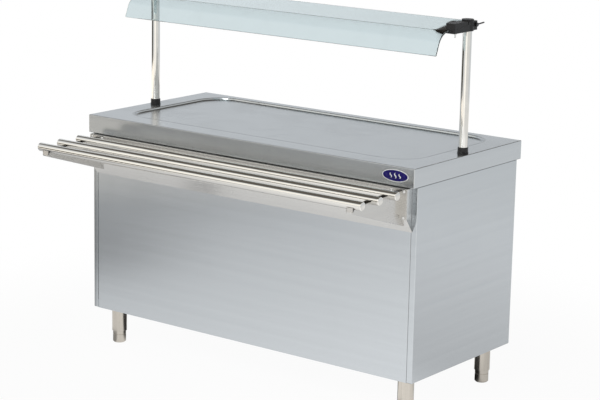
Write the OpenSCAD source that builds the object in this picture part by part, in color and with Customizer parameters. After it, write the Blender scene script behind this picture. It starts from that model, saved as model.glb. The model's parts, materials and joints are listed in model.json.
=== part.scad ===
// Heated self-service counter with a curved glass guard and a tubular tray slide.
// Units are millimetres. +Z is up, -Y is the customer's side and +Y the operator's side.
// The origin is on the floor, in the middle of the whole footprint, tray slide included.

/* [Worktop] */
// Width of the worktop, side to side
worktop_w = 1400; // [1120:20:1700]
// Depth of the worktop, front to back
worktop_d = 650; // [560:10:800]
// Height of the worktop above the floor
worktop_h = 850; // [700:10:1020]
// Height of the folded apron round the worktop
apron_h = 64; // [50:1:80]
// Inward return at the foot of the apron
apron_return = 18; // [10:1:25]
// Thickness of the stainless sheet
sheet = 1.2; // [0.8:0.1:1.6]
// Depth of the pressed recess in the worktop
recess_deep = 7; // [3:0.5:12]
// Flat margin at each side of the recess
recess_side = 84; // [70:1:110]
// Flat margin in front of the recess
recess_front = 90; // [50:1:120]
// Flat margin behind the recess
recess_back = 38; // [30:1:80]
// Corner radius of the recess
recess_r = 100; // [40:5:120]

/* [Cabinet] */
// How far the cabinet's front and back stand in from the worktop's edge
body_set = 24; // [15:1:35]
// How far the cabinet's sides stand in from the worktop's ends
side_set = 1; // [0:0.5:5]
// Clear height under the cabinet
leg_gap = 135; // [110:1:165]
// Width of the side panel's strip that turns onto the front and back
strip_w = 20; // [15:1:30]
// Depth of the hidden folds behind the strips and panels
fold = 14; // [10:1:20]
// Height of the base shelf's folded edge
base_h = 30; // [25:1:40]
// Height of the rear header that holds the controls
header_h = 112; // [100:1:135]
// Height of the middle shelf above the base shelf
mid_up = 245; // [200:5:290]
// Height of the middle shelf's folded edge
mid_edge = 25; // [20:1:35]
// Width of the angles that carry the middle shelf
angle_w = 20; // [15:1:25]

/* [Legs] */
// Distance of each leg's centre from the cabinet's sides
leg_inset = 65; // [60:1:90]
// Outside diameter of the leg tube
leg_d = 54; // [45:0.5:60]
// Wall of the leg tube
leg_wall = 1.5; // [1:0.1:2]
// Size of the square plate on top of the leg
leg_plate = 90; // [85:1:110]
// Thickness of the leg's plate
leg_plate_t = 3; // [2:0.5:5]
// Gap all round between the foot and the leg tube
foot_gap = 1.5; // [0.5:0.1:5.5]
// Height of the foot that shows below the leg tube
foot_show = 44; // [35:1:55]
// Length of the foot that is inside the leg tube
foot_hid = 12; // [8:1:20]
// Diameter of the foot's screw
foot_screw_d = 16; // [12:1:20]
// Length of the foot's screw
foot_screw_l = 52; // [45:1:65]
// Thickness of the threaded bush in the leg
bush_t = 14; // [10:1:18]
// Spacing of the leg plate's bolts
leg_bolt_pitch = 70; // [68:1:76]

/* [Tray slide] */
// Reach of the tray slide in front of the worktop
tray_reach = 273; // [240:1:330]
// Outside diameter of the tray tubes
tube_d = 29; // [25:0.5:34]
// Wall of the tray tubes
tube_wall = 1.5; // [1:0.1:2]
// Distance of the rear tube's axis from the worktop's front
tube_back = 69.5; // [38:0.5:98]
// Height of the tube axes below the worktop
tube_drop = 78; // [70:1:90]
// How far the tubes stop short of the worktop's ends
tube_short = 17; // [10:1:30]
// Radius of the domed tube caps
cap_dome = 4; // [2:0.5:6]
// Width of a bracket arm
arm_w = 26; // [20:1:32]
// Distance of the outer face of each arm from the worktop's end
arm_set = 40; // [35:1:60]
// Thickness of the bracket sheet
arm_t = 2; // [1.5:0.5:3]
// Height of the arm at its tip
arm_tip = 19; // [15:1:25]
// Width of the bracket's mounting plate
arm_plate_w = 68; // [60:1:74]
// Thickness of the mounting plate
arm_plate_t = 2.5; // [2:0.5:4]
// Sideways distance of the bracket bolts from the arm's middle
arm_bolt_x = 24; // [20:1:28]
// Size of the bracket bolts' heads
bolt_head_d = 11; // [9:0.5:13]

/* [Console] */
// How far the console stands in front of the worktop's edge
console_out = 12; // [8:1:20]
// Height of the console's upright face
console_h = 100; // [90:1:120]
// Height of the console's sloping face
console_slope = 47; // [35:1:60]
// How far the console stops short of the worktop's ends
console_short = 18; // [16:1:30]
// Thickness of the console sheet
console_t = 1.5; // [1:0.1:2]
// Gap between the console and the worktop's apron
console_gap = 2; // [1:0.5:4]

/* [Glass guard] */
// Overall height of the guard above the worktop
guard_h = 442; // [360:5:530]
// Outside diameter of the posts
post_d = 30; // [25:0.5:36]
// Wall of the posts
post_wall = 1.5; // [1:0.1:2]
// Distance of the posts' centres from the worktop's ends
post_set = 30; // [26:1:34]
// Wall of the collar at the foot of a post
collar_wall = 3.5; // [2:0.5:6]
// Height of the collar
collar_h = 20; // [12:1:30]
// Thickness of the glass
glass_t = 6; // [4:0.5:10]
// Slope of the glass's flat part, in degrees
glass_tilt = 8; // [4:0.5:12]
// Length of the glass's flat part
glass_flat = 142; // [135:1:180]
// Inside radius of the bend
glass_r = 57; // [40:1:80]
// Slope of the glass's front part, in degrees
glass_drop_tilt = 69; // [55:1:80]
// Length of the glass's front part
glass_drop = 38; // [25:1:70]
// How far the glass's ends reach into the clamps
glass_bite = 11; // [8:1:12]
// Length of the clamp in front of the post's centre
clamp_front = 105; // [90:1:120]
// Length of the clamp behind the post's centre
clamp_back = 31; // [28:1:40]
// Width of a clamp
clamp_w = 34; // [30:0.5:40]
// Height of a clamp
clamp_h = 38; // [36:1:46]
// Thickness of the rubber pads
pad_t = 2; // [1:0.5:3]
// Diameter of the clamp screws
clamp_screw_d = 5; // [4:0.5:6]
// Length of the clamp lever
lever_l = 42; // [30:1:55]

/* [Heating] */
// Diameter of the heating elements' tube
element_d = 8.5; // [6.5:0.5:10]
// Distance between an element's runs
element_pitch = 70; // [50:5:75]
// Length of an element's straight runs
element_run = 250; // [200:5:280]
// Thickness of the insulation board
insulation_t = 20; // [15:1:24]
// Width of the straps that hold the elements
strap_w = 20; // [15:1:30]
// Thickness of the straps
strap_t = 2; // [1.5:0.5:3]
// Diameter of the thermostat's bulb
bulb_d = 6; // [5:0.5:8]

/* [Controls] */
// Distance of the control panel's middle from the cabinet's side
control_set = 269; // [180:1:400]
// Width of the control panel
control_w = 220; // [200:5:240]
// Margin above and below the control panel
control_margin = 16; // [11:1:20]
// Depth of the box behind the control panel
control_deep = 90; // [80:1:110]
// Diameter of the thermostat knob
knob_d = 42; // [36:1:50]
// Depth of the thermostat knob
knob_h = 19; // [15:1:20]
// Diameter of the thermostat's shaft
shaft_d = 6; // [5:0.5:8]
// Radial clearance of a part that turns on a shaft or pin
running_fit = 0.06; // [0.02:0.01:0.1]
// Width of the rocker switch
switch_w = 22; // [18:1:24]
// Height of the rocker switch
switch_h = 30; // [26:1:32]
// Tilt of the rocker at rest, in degrees
rocker_tilt = 10; // [8:1:12]
// Bore of the cable gland
gland_bore = 13; // [10:0.5:16]

/* [Doors] */
// Thickness of a sliding door
door_t = 14; // [12:1:16]
// Free space between the two sliding doors
door_gap = 5; // [4:0.5:8]
// Overlap of the closed doors
door_lap = 34; // [30:1:60]
// Thickness of the runner fins on a door
fin_t = 3; // [2:0.5:4]
// Depth of the slots in the door tracks
slot_deep = 8; // [6:1:10]
// Height of a track above the bottom of its slots
track_floor = 2; // [2:0.5:4]
// Length of the handle cup
handle_l = 110; // [90:1:130]
// Width of the handle cup
handle_w = 42; // [34:1:46]
// Depth of the handle cup
handle_deep = 10; // [8:0.5:11]

/* [Badge] */
// Width of the oval badge
badge_w = 100; // [80:1:120]
// Height of the oval badge
badge_h = 40; // [30:1:44]
// Thickness of the badge
badge_t = 1.5; // [1:0.1:2]
// Distance of the badge's middle from the worktop's end
badge_set = 73; // [65:1:90]

/* [Hidden] */
$fn = 64;

// Clearances
touch = 0.3;
ease = 0.5;
cut = 1;

// Worktop
end_x = worktop_w / 2;
y_front = (tray_reach - worktop_d) / 2;
y_back = y_front + worktop_d;
y_mid = (y_front + y_back) / 2;
apron_z = worktop_h - apron_h;
deck_z = worktop_h - recess_deep;
under_z = deck_z - sheet;
recess_x = end_x - recess_side;
recess_y0 = y_front + recess_front;
recess_y1 = y_back - recess_back;

// Cabinet
body_x = end_x - side_set;
body_y0 = y_front + body_set;
body_y1 = y_back - body_set;
inner_x = body_x - sheet;
strip_x = body_x - strip_w;
shelf_z = leg_gap + base_h;
mid_z = shelf_z + mid_up;
header_z = apron_z - header_h;

// Legs
leg_x = body_x - leg_inset;
leg_y0 = body_y0 + leg_inset;
leg_y1 = body_y1 - leg_inset;
leg_bore = leg_d / 2 - leg_wall;
foot_d = 2 * (leg_bore - foot_gap);
leg_top = shelf_z - sheet;
bush_z = foot_show + foot_hid + touch;
leg_hole_d = 8.5;
leg_bolt_d = 8;

// Tray slide
tube_z = worktop_h - tube_drop;
tube_end = end_x - tube_short;
tube_y_front = y_front - tray_reach + tube_d / 2;
tube_pitch = (y_front - tube_back - tube_y_front) / 2;
arm_x = end_x - arm_set - arm_w / 2;
console_y = y_front - console_out;
console_top = apron_z - console_gap;
console_knee = console_top - console_h;
console_foot = console_knee - console_slope;
console_x = end_x - console_short;
arm_top_back = console_top - 9;
arm_low_back = console_knee - console_slope * 0.55;
arm_low_y = console_y + (body_y0 - console_y) * 0.55;
arm_top_tip = tube_z - tube_d / 4;
bolt_z_low = console_knee + bolt_head_d / 2 + 2;
bolt_z_high = console_top - bolt_head_d / 2 - 3;
bolt_shank_d = 6;

// Glass guard
post_x = end_x - post_set;
post_y = y_mid;
post_foot = worktop_h - sheet - 30;
post_hole_d = post_d + 2 * touch;
collar_d = post_d + 2 * collar_wall;
clamp_top = worktop_h + guard_h;
clamp_z = clamp_top - clamp_h;
post_top = clamp_top - 4;
sleeve_d = post_d + 10;
clamp_in = post_x - clamp_w / 2;
glass_x = clamp_in + glass_bite;
glass_neck_x = post_x - sleeve_d / 2 - 2;
// The underside of the glass's flat part passes here, above the post's axis
glass_z = clamp_z + 19;
jaw_back = post_y - sleeve_d / 2 - 2;
clamp_y0 = post_y - clamp_front;
// The flat part starts where the bend ends, above the front of the clamp
glass_y0 = clamp_y0 - 4;
lever_y = post_y + clamp_back - 9;
lever_z = clamp_z + clamp_h * 0.52;
lever_pin_d = 6;
lever_rod_d = 5;

// Heating
heater_x = recess_x - 22;
heater_y0 = recess_y0 + 45;
heater_y1 = recess_y1 - 45;
heater_mid_y = (heater_y0 + heater_y1) / 2;
element_z = under_z - element_d / 2 - touch;
element_step = (2 * heater_x - 60) / 3;
strap_z = element_z - element_d / 2 - strap_t - touch;
capillary_d = 3;
capillary_z = strap_z - ease - bulb_d / 2;
insulation_z = capillary_z - bulb_d / 2 - touch - insulation_t;
cover_z = insulation_z - sheet;

// Controls
control_x = control_set - body_x;
control_h = header_h - 2 * control_margin;
panel_t = sheet;
panel_y = body_y1;
header_y = body_y1 - sheet;
control_z = (header_z + apron_z) / 2;
box_x0 = control_x - control_w / 2 - 6;
box_x1 = control_x + control_w / 2 + 66;
box_z0 = control_z - control_h / 2 - 2;
box_z1 = control_z + control_h / 2 + 8;
knob_x = control_x + control_w / 2 - 50;
switch_x = control_x - 40;
lamp_x = control_x - 80;
gland_x = control_x + control_w / 2 + 34;
capillary_y = header_y - control_deep / 2;
rocker_r = 15;

// Doors
track_h = slot_deep + track_floor;
door_lane = door_t + door_gap;
lane_out = header_y - 3 - door_t / 2;
lane_in = lane_out - door_lane;
track_y0 = lane_in - door_t / 2 - 1;
track_y1 = lane_out + door_t / 2 + 1;
door_x = strip_x - sheet - 2;
door_w = door_x + door_lap / 2;
door_z0 = shelf_z + track_h + 1;
door_z1 = header_z - track_h - 1;
handle_z = (door_z0 + door_z1) / 2;
handle_in = 50;

// ---------- helpers ----------

// A box between two corners.
module box(x0, x1, y0, y1, z0, z1) {
    translate([x0, y0, z0])
    cube([x1 - x0, y1 - y0, z1 - z0]);
}

// A box with rounded upright corners.
module round_box(x0, x1, y0, y1, z0, z1, r) {
    box(x0 + r, x1 - r, y0, y1, z0, z1);
    box(x0, x1, y0 + r, y1 - r, z0, z1);
    for (x = [x0 + r, x1 - r], y = [y0 + r, y1 - r]) rod_z(x, y, z0, z1, 2 * r);
}

// Round bars along each axis.
module rod_x(x0, x1, y, z, d) {
    translate([x0, y, z])
    rotate([0, 90, 0])
    cylinder(h = x1 - x0, d = d);
}
module rod_y(x, y0, y1, z, d) {
    translate([x, y1, z])
    rotate([90, 0, 0])
    cylinder(h = y1 - y0, d = d);
}
module rod_z(x, y, z0, z1, d) {
    translate([x, y, z0])
    cylinder(h = z1 - z0, d = d);
}

// Sweeps a (Y, Z) outline from x0 to x1.
module along_x(x0, x1) {
    translate([x0, 0, 0])
    rotate([90, 0, 90])
    linear_extrude(x1 - x0) children();
}

// Repeats its children on the other side of the middle plane.
module both_sides() {
    children();
    mirror([1, 0, 0]) children();
}

// ---------- worktop and cabinet ----------

// The folded top with its pressed recess, apron and post holes.
module worktop() {
    color("lightsteelblue")
    difference() {
        union() {
            difference() {
                box(-end_x, end_x, y_front, y_back, apron_z, worktop_h);
                box(-end_x + sheet, end_x - sheet, y_front + sheet, y_back - sheet,
                    apron_z + sheet, worktop_h - sheet);
                box(-end_x + apron_return, end_x - apron_return,
                    y_front + body_set + fold, y_back - body_set - fold, apron_z - cut, apron_z + cut + sheet);
            }
            round_box(-recess_x - sheet, recess_x + sheet, recess_y0 - sheet, recess_y1 + sheet,
                under_z, worktop_h - sheet / 2, recess_r + sheet);
        }
        round_box(-recess_x, recess_x, recess_y0, recess_y1, deck_z, worktop_h + cut, recess_r);
        both_sides() rod_z(post_x, post_y, worktop_h - 2 * sheet, worktop_h + cut, post_hole_d);
    }
}

// A side panel with its front and rear strips, hidden folds and shelf angle.
module side_panel() {
    color("silver") {
        difference() {
            box(strip_x, body_x, body_y0, body_y1, leg_gap, apron_z);
            box(strip_x - cut, body_x - sheet, body_y0 + sheet, body_y1 - sheet,
                leg_gap + sheet, apron_z - sheet);
        }
        box(strip_x, strip_x + sheet, body_y0, body_y0 + fold, shelf_z, apron_z);
        difference() {
            box(body_x - sheet - angle_w, body_x - sheet / 2, body_y0 + 2 * fold,
                track_y0 - fold, mid_z - mid_edge - angle_w, mid_z - mid_edge);
            box(body_x - 2 * sheet - 2 * angle_w, body_x - 2 * sheet, body_y0 + fold,
                track_y0, mid_z - mid_edge - angle_w - cut, mid_z - mid_edge - sheet);
        }
    }
}

// The flat front panel with folded edges at its two ends.
module front_panel() {
    color("silver") {
        box(-strip_x + touch, strip_x - touch, body_y0, body_y0 + sheet, leg_gap, apron_z);
        both_sides()
        box(strip_x - touch - sheet, strip_x - touch, body_y0, body_y0 + fold, shelf_z, apron_z);
    }
}

// The cabinet's floor, a pan turned upside down, drilled for the legs' bolts.
module base_shelf() {
    color("gainsboro")
    difference() {
        union() {
            box(-inner_x, inner_x, body_y0 + sheet, body_y1 - sheet, leg_top, shelf_z);
            box(-inner_x, inner_x, body_y0 + sheet, body_y0 + 2 * sheet, leg_gap + sheet, shelf_z);
            both_sides()
            box(inner_x - sheet, inner_x, body_y0 + sheet, body_y1 - sheet, leg_gap + sheet, shelf_z);
            box(-strip_x + touch, strip_x - touch, body_y1 - sheet, body_y1, leg_gap, shelf_z);
        }
        leg_holes(leg_top - cut, shelf_z + cut, leg_hole_d);
    }
}

// The pan-shaped shelf halfway up the cabinet.
module mid_shelf() {
    color("gainsboro")
    difference() {
        box(-inner_x + ease, inner_x - ease, body_y0 + fold + ease, track_y0 - 2 * fold,
            mid_z - mid_edge, mid_z);
        box(-inner_x + ease + sheet, inner_x - ease - sheet, body_y0 + fold + ease + sheet,
            track_y0 - 2 * fold - sheet, mid_z - mid_edge - cut, mid_z - sheet);
    }
}

// The rail across the back, with its opening for the control box and the gland's hole.
module rear_header() {
    color("silver")
    difference() {
        union() {
            box(-strip_x + touch, strip_x - touch, header_y, body_y1, header_z, apron_z);
            box(-strip_x + touch, strip_x - touch, track_y0, body_y1, header_z, header_z + sheet);
        }
        box(control_x - control_w / 2 + 10, control_x + control_w / 2 - 10, header_y - cut,
            body_y1 + cut, control_z - control_h / 2 + 10, control_z + control_h / 2 - 10);
        panel_holes(header_y - cut, body_y1 + cut, 4.2);
        rod_y(gland_x, header_y - cut, body_y1 + cut, control_z, 25 + 2 * ease);
    }
}

// A two-lane plastic track: lanes for the outer and the inner door.
module track(z0, z1, open_z) {
    difference() {
        box(-door_x - 1, door_x + 1, track_y0, track_y1, z0, z1);
        for (y = [lane_out, lane_in])
            box(-end_x, end_x, y - fin_t / 2 - touch, y + fin_t / 2 + touch, open_z, open_z + slot_deep + cut);
    }
}
module door_track_bottom() {
    color("dimgray") track(shelf_z, shelf_z + track_h, shelf_z + track_floor);
}
module door_track_top() {
    color("dimgray") track(header_z - track_h, header_z, header_z - track_h - cut);
}

// ---------- legs ----------

// The four bolts' places on each of the four legs.
module leg_holes(z0, z1, d) {
    for (x = [-leg_x, leg_x], y = [leg_y0, leg_y1])
        for (dx = [-0.5, 0.5], dy = [-0.5, 0.5])
            rod_z(x + dx * leg_bolt_pitch, y + dy * leg_bolt_pitch, z0, z1, d);
}

// A leg: plate, tube and threaded bush, bolted under the base shelf.
module leg(x, y) {
    color("gray")
    difference() {
        union() {
            box(x - leg_plate / 2, x + leg_plate / 2, y - leg_plate / 2, y + leg_plate / 2,
                leg_top - leg_plate_t, leg_top);
            rod_z(x, y, foot_show, leg_top - leg_plate_t / 2, leg_d);
        }
        rod_z(x, y, foot_show - cut, bush_z, 2 * leg_bore);
        rod_z(x, y, bush_z + bush_t, leg_top - leg_plate_t, 2 * leg_bore);
        rod_z(x, y, bush_z - cut, bush_z + bush_t + cut, foot_screw_d + 2 * touch);
        leg_holes(leg_top - leg_plate_t - cut, leg_top + cut, leg_hole_d);
    }
}

// An adjustable foot: cup with a chamfered sole and its screw.
module foot(x, y) {
    color("darkgray")
    translate([x, y, 0]) {
        rotate_extrude()
        polygon([[0, 0], [foot_d / 2 - 4, 0], [foot_d / 2, 4],
            [foot_d / 2, foot_show + foot_hid], [0, foot_show + foot_hid]]);
        cylinder(h = foot_show + foot_hid + foot_screw_l, d = foot_screw_d);
    }
}

// Hexagon bolts that hold the legs from below, their ends flush with the cabinet's floor.
module leg_bolts() {
    color("gray") {
        leg_holes(leg_top - leg_plate_t, shelf_z, leg_bolt_d);
        for (x = [-leg_x, leg_x], y = [leg_y0, leg_y1])
            for (dx = [-0.5, 0.5], dy = [-0.5, 0.5])
                translate([x + dx * leg_bolt_pitch, y + dy * leg_bolt_pitch, leg_top - leg_plate_t - 5])
                cylinder(h = 5, d = 13, $fn = 6);
    }
}

// ---------- tray slide ----------

// The folded console that carries the brackets.
module console() {
    color("silver")
    difference() {
        along_x(-console_x, console_x)
        polygon([
            [body_y0, console_top], [console_y, console_top], [console_y, console_knee],
            [body_y0, console_foot], [body_y0, console_foot + 1.3 * console_t],
            [console_y + console_t, console_knee + 0.35 * console_t],
            [console_y + console_t, console_top - console_t], [body_y0, console_top - console_t]
        ]);
        bracket_bolt_places(console_y - cut, console_y + 2 * console_t, bolt_shank_d + 2 * touch);
    }
}

// The bracket bolts' places, two above two at each bracket.
module bracket_bolt_places(y0, y1, d) {
    for (x = [-arm_x, arm_x], dx = [-arm_bolt_x, arm_bolt_x], z = [bolt_z_low, bolt_z_high])
        rod_y(x + dx, y0, y1, z, d);
}

// The side outline of a bracket arm.
module arm_outline() {
    polygon([
        [y_front - tray_reach, arm_top_tip], [y_front - tray_reach, arm_top_tip - arm_tip],
        [arm_low_y, arm_low_back], [console_y, console_knee], [console_y, arm_top_back]
    ]);
}

// The channel-shaped arm with its saddles and mounting plate.
module tray_bracket(x) {
    color("silver")
    difference() {
        union() {
            along_x(x - arm_w / 2, x - arm_w / 2 + arm_t) arm_outline();
            along_x(x + arm_w / 2 - arm_t, x + arm_w / 2) arm_outline();
            along_x(x - arm_w / 2, x + arm_w / 2)
            polygon([
                [y_front - tray_reach, arm_top_tip], [y_front - tray_reach, arm_top_tip - arm_tip],
                [arm_low_y, arm_low_back],
                [arm_low_y - arm_t, arm_low_back + arm_t * console_slope / (body_y0 - console_y)],
                [y_front - tray_reach + arm_t, arm_top_tip - arm_tip + arm_t],
                [y_front - tray_reach + arm_t, arm_top_tip]
            ]);
            box(x - arm_plate_w / 2, x + arm_plate_w / 2, console_y - arm_plate_t, console_y,
                console_knee + 1, console_top - 1);
        }
        for (i = [0 : 2])
            rod_x(x - arm_w, x + arm_w, tube_y_front + i * tube_pitch, tube_z, tube_d + 2 * 0.1);
        bracket_bolt_places(console_y - arm_plate_t - cut, console_y + cut, bolt_shank_d + 2 * touch);
    }
}

// One straight tray tube.
module tray_tube(i) {
    color("whitesmoke")
    difference() {
        rod_x(-tube_end, tube_end, tube_y_front + i * tube_pitch, tube_z, tube_d);
        rod_x(-tube_end - cut, tube_end + cut, tube_y_front + i * tube_pitch, tube_z, tube_d - 2 * tube_wall);
    }
}

// Domed plugs in the ends of the tubes.
module tray_tube_caps() {
    color("white")
    both_sides()
    for (i = [0 : 2]) {
        y = tube_y_front + i * tube_pitch;
        rod_x(tube_end - 15, tube_end, y, tube_z, tube_d - 2 * tube_wall);
        translate([tube_end, y, tube_z])
        rotate([0, 90, 0])
        rotate_extrude()
        intersection() {
            translate([0, cap_dome / 2 - dome_r()]) circle(r = dome_r() + cap_dome / 2, $fn = 128);
            square([tube_d / 2, cap_dome]);
        }
    }
}

// Radius of the cap's dome, from its height and the tube's radius.
function dome_r() = (pow(tube_d / 2, 2) - pow(cap_dome, 2) / 4) / cap_dome;

// Button-head bolts of the brackets.
module bracket_bolts() {
    color("white") {
        bracket_bolt_places(console_y - arm_plate_t, console_y + 8, bolt_shank_d);
        bracket_bolt_places(console_y - arm_plate_t - 3, console_y - arm_plate_t, bolt_head_d);
    }
}

// ---------- glass guard ----------

// A guard post.
module post(x) {
    color("whitesmoke")
    difference() {
        rod_z(x, post_y, post_foot, post_top, post_d);
        rod_z(x, post_y, post_foot - cut, post_top + cut, post_d - 2 * post_wall);
    }
}

// Black collars where the posts meet the worktop.
module post_collars() {
    color("black")
    both_sides()
    translate([post_x, post_y, worktop_h])
    rotate_extrude()
    polygon([[post_d / 2 + 0.1, 0], [collar_d / 2, 0], [collar_d / 2, collar_h - 2],
        [collar_d / 2 - 2, collar_h], [post_d / 2 + 0.1, collar_h]]);
}

// Ring nuts and washers that hold the posts from below.
module post_nuts() {
    color("gray")
    both_sides()
    difference() {
        union() {
            rod_z(post_x, post_y, worktop_h - sheet - 3, worktop_h - sheet, post_d + 20);
            translate([post_x, post_y, worktop_h - sheet - 15]) cylinder(h = 12, d = post_d + 14, $fn = 6);
        }
        rod_z(post_x, post_y, post_foot, worktop_h, post_d + 0.2);
    }
}

// The half-plane above a line parallel to the glass's flat part, lift above its underside.
module above_glass(lift, thick) {
    translate([post_y, glass_z])
    rotate(glass_tilt)
    translate([-200, lift]) square([400, thick]);
}

// The solid box from which a clamp's front half is cut.
module clamp_nose() {
    round_box(clamp_in, post_x + clamp_w / 2, clamp_y0, jaw_back, clamp_z, clamp_top - 5, 4);
}

// The lower half of a clamp, with the post's socket and the split ear behind it.
module clamp_body() {
    color("black")
    difference() {
        union() {
            difference() {
                union() {
                    clamp_nose();
                    box(clamp_in, post_x + clamp_w / 2, jaw_back - 6, post_y, clamp_z, clamp_top - 8);
                }
                along_x(clamp_in - cut, post_x + clamp_w)
                difference() {
                    above_glass(glass_t + pad_t - ease, 60);
                    translate([jaw_back + 1, 0]) square([200, 4000]);
                }
                along_x(clamp_in - cut, glass_x + ease) above_glass(-pad_t, glass_t + 2 * pad_t);
            }
            rod_z(post_x, post_y, clamp_z, clamp_top, sleeve_d);
            box(post_x - clamp_w / 2 + 5, post_x + clamp_w / 2, post_y, post_y + clamp_back,
                clamp_z + 2, clamp_top - 6);
        }
        rod_z(post_x, post_y, clamp_z - cut, post_top + touch, post_d + 0.2);
        box(post_x - 1, post_x + 1, post_y + post_d / 2 - cut, post_y + clamp_back + cut,
            clamp_z - cut, clamp_top - 10);
        rod_x(post_x - clamp_w, post_x + clamp_w, lever_y, lever_z, lever_pin_d + 2 * running_fit);
        clamp_screw_places(clamp_z - cut, clamp_top - 14, clamp_screw_d + 2 * touch);
    }
}

// The upper half of a clamp.
module clamp_jaw() {
    color("black")
    difference() {
        clamp_nose();
        along_x(clamp_in - cut, post_x + clamp_w)
        above_glass(-60, 60 + glass_t + pad_t);
        clamp_screw_places(clamp_z, clamp_top - 14, clamp_screw_d + 2 * touch);
    }
}

// The two clamp screws stand in the clamp's outer heel.
module clamp_screw_places(z0, z1, d) {
    for (y = [clamp_y0 + 18, jaw_back - 16])
        rod_z(post_x + clamp_w / 2 - 8, y, z0, z1, d);
}

// Screws that draw the jaws together, with their ends showing below.
module clamp_screws() {
    color("gray")
    both_sides() {
        clamp_screw_places(clamp_z - 14, clamp_top - 15, clamp_screw_d);
        clamp_screw_places(clamp_z - 3, clamp_z, clamp_screw_d + 4);
    }
}

// Rubber pads above and below the glass.
module clamp_pads() {
    color("dimgray")
    both_sides()
    along_x(clamp_in + 1, glass_x)
    intersection() {
        union() {
            above_glass(-pad_t + 0.1, pad_t - 0.2);
            above_glass(glass_t + 0.1, pad_t - 0.2);
        }
        translate([clamp_y0 + 2, clamp_z]) square([jaw_back - clamp_y0 - 4, clamp_h]);
    }
}

// The clamp's lever: hub, rod and the pin that crosses the split ear.
module clamp_lever() {
    hub_x = post_x + clamp_w / 2 + touch;
    color("darkslategray") {
        rod_x(post_x - clamp_w / 2 + 5, hub_x + 1, lever_y, lever_z, lever_pin_d);
        rod_x(hub_x, hub_x + 7, lever_y, lever_z, 13);
        translate([hub_x + 3.5, lever_y, lever_z])
        rotate([-86, 0, 0]) {
            cylinder(h = lever_l, d = lever_rod_d);
            translate([0, 0, lever_l]) sphere(d = lever_rod_d);
        }
    }
}

// The side outline of the glass: flat part, bend and dropped front part.
module glass_outline() {
    turn = glass_drop_tilt - glass_tilt;
    translate([post_y, glass_z])
    rotate(glass_tilt) {
        flat0 = (glass_y0 - post_y) / cos(glass_tilt);
        translate([flat0, 0]) square([glass_flat, glass_t]);
        translate([flat0, -glass_r]) {
            intersection() {
                difference() {
                    circle(r = glass_r + glass_t, $fn = 180);
                    circle(r = glass_r, $fn = 180);
                }
                polygon([[0, 0], [0, 3 * glass_r], [-3 * glass_r, 3 * glass_r],
                    [-3 * glass_r * sin(turn), 3 * glass_r * cos(turn)]]);
            }
            rotate(turn)
            translate([-glass_drop, glass_r]) square([glass_drop, glass_t]);
        }
    }
}

// The bent glass, necked behind the clamps so that it passes between the posts.
module glass_guard() {
    color("lightcyan", 0.5)
    difference() {
        along_x(-glass_x, glass_x) glass_outline();
        both_sides()
        box(glass_neck_x, glass_x + cut, jaw_back - 1, y_back, clamp_z - 40, clamp_top + 40);
    }
}

// ---------- heating ----------

// One flat element: four runs joined by three bends, with both ends at the back.
module heating_element(x) {
    y0 = heater_mid_y - element_run / 2;
    y1 = heater_mid_y + element_run / 2;
    for (i = [0 : 3]) rod_y(x + (i - 1.5) * element_pitch, y0, y1, element_z, element_d);
    for (i = [0 : 2])
        translate([x + (i - 1) * element_pitch, i % 2 == 0 ? y0 : y1, element_z])
        rotate([0, 0, i % 2 == 0 ? 180 : 0])
        rotate_extrude(angle = 180)
        translate([element_pitch / 2, 0]) circle(d = element_d);
}

module heating_elements() {
    color("dimgray") for (i = [-1 : 1]) heating_element(i * element_step);
}

// Flat straps under the elements.
module element_straps() {
    color("silver")
    for (y = [heater_mid_y - element_run / 3, heater_mid_y + element_run / 3])
        box(-heater_x + 4, heater_x - 4, y - strap_w / 2, y + strap_w / 2, strap_z, strap_z + strap_t);
}

module insulation_board() {
    color("khaki")
    box(-heater_x + 4, heater_x - 4, heater_y0 + 4, heater_y1 - 4, insulation_z, insulation_z + insulation_t);
}

// The pan that closes the heater from below, with a flange against the deck.
module heater_cover() {
    color("silver")
    difference() {
        union() {
            box(-heater_x, heater_x, heater_y0, heater_y1, cover_z, under_z);
            box(-heater_x - 16, heater_x + 16, heater_y0 - 16, heater_y1 + 16, under_z - sheet, under_z);
        }
        box(-heater_x + sheet, heater_x - sheet, heater_y0 + sheet, heater_y1 - sheet,
            cover_z + sheet, under_z + cut);
        heater_screw_places(under_z - 3 * sheet, under_z + cut, 5);
        rod_y(knob_x, heater_y1 - 2 * sheet, heater_y1 + cut, capillary_z, capillary_d + 2 * ease);
    }
}

module heater_screw_places(z0, z1, d) {
    for (x = [-heater_x / 2 - heater_x / 4, 0, heater_x / 2 + heater_x / 4], y = [heater_y0 - 8, heater_y1 + 8])
        rod_z(x, y, z0, z1, d);
}

// Nuts on the deck's welded studs, which hold the cover.
module heater_screws() {
    color("gray") {
        heater_screw_places(under_z - 10, under_z, 4);
        heater_screw_places(under_z - sheet - 4, under_z - sheet, 8);
    }
}

// ---------- controls ----------

module panel_holes(y0, y1, d) {
    for (dx = [-0.5, 0.5], dz = [-0.5, 0.5])
        rod_y(control_x + dx * (control_w - 10), y0, y1, control_z + dz * (control_h - 10), d);
}

// The removable plate that carries the thermostat, switch and lamp.
module control_panel() {
    color("silver")
    difference() {
        box(control_x - control_w / 2, control_x + control_w / 2, panel_y, panel_y + panel_t,
            control_z - control_h / 2, control_z + control_h / 2);
        panel_holes(panel_y - cut, panel_y + panel_t + cut, 4.2);
        rod_y(knob_x, panel_y - cut, panel_y + panel_t + cut, control_z, shaft_d + 4);
        rod_y(lamp_x, panel_y - cut, panel_y + panel_t + cut, control_z, 10 + 2 * touch);
        box(switch_x - switch_w / 2 + 1, switch_x + switch_w / 2 - 1, panel_y - cut, panel_y + panel_t + cut,
            control_z - switch_h / 2 + 1, control_z + switch_h / 2 - 1);
    }
}

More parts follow.
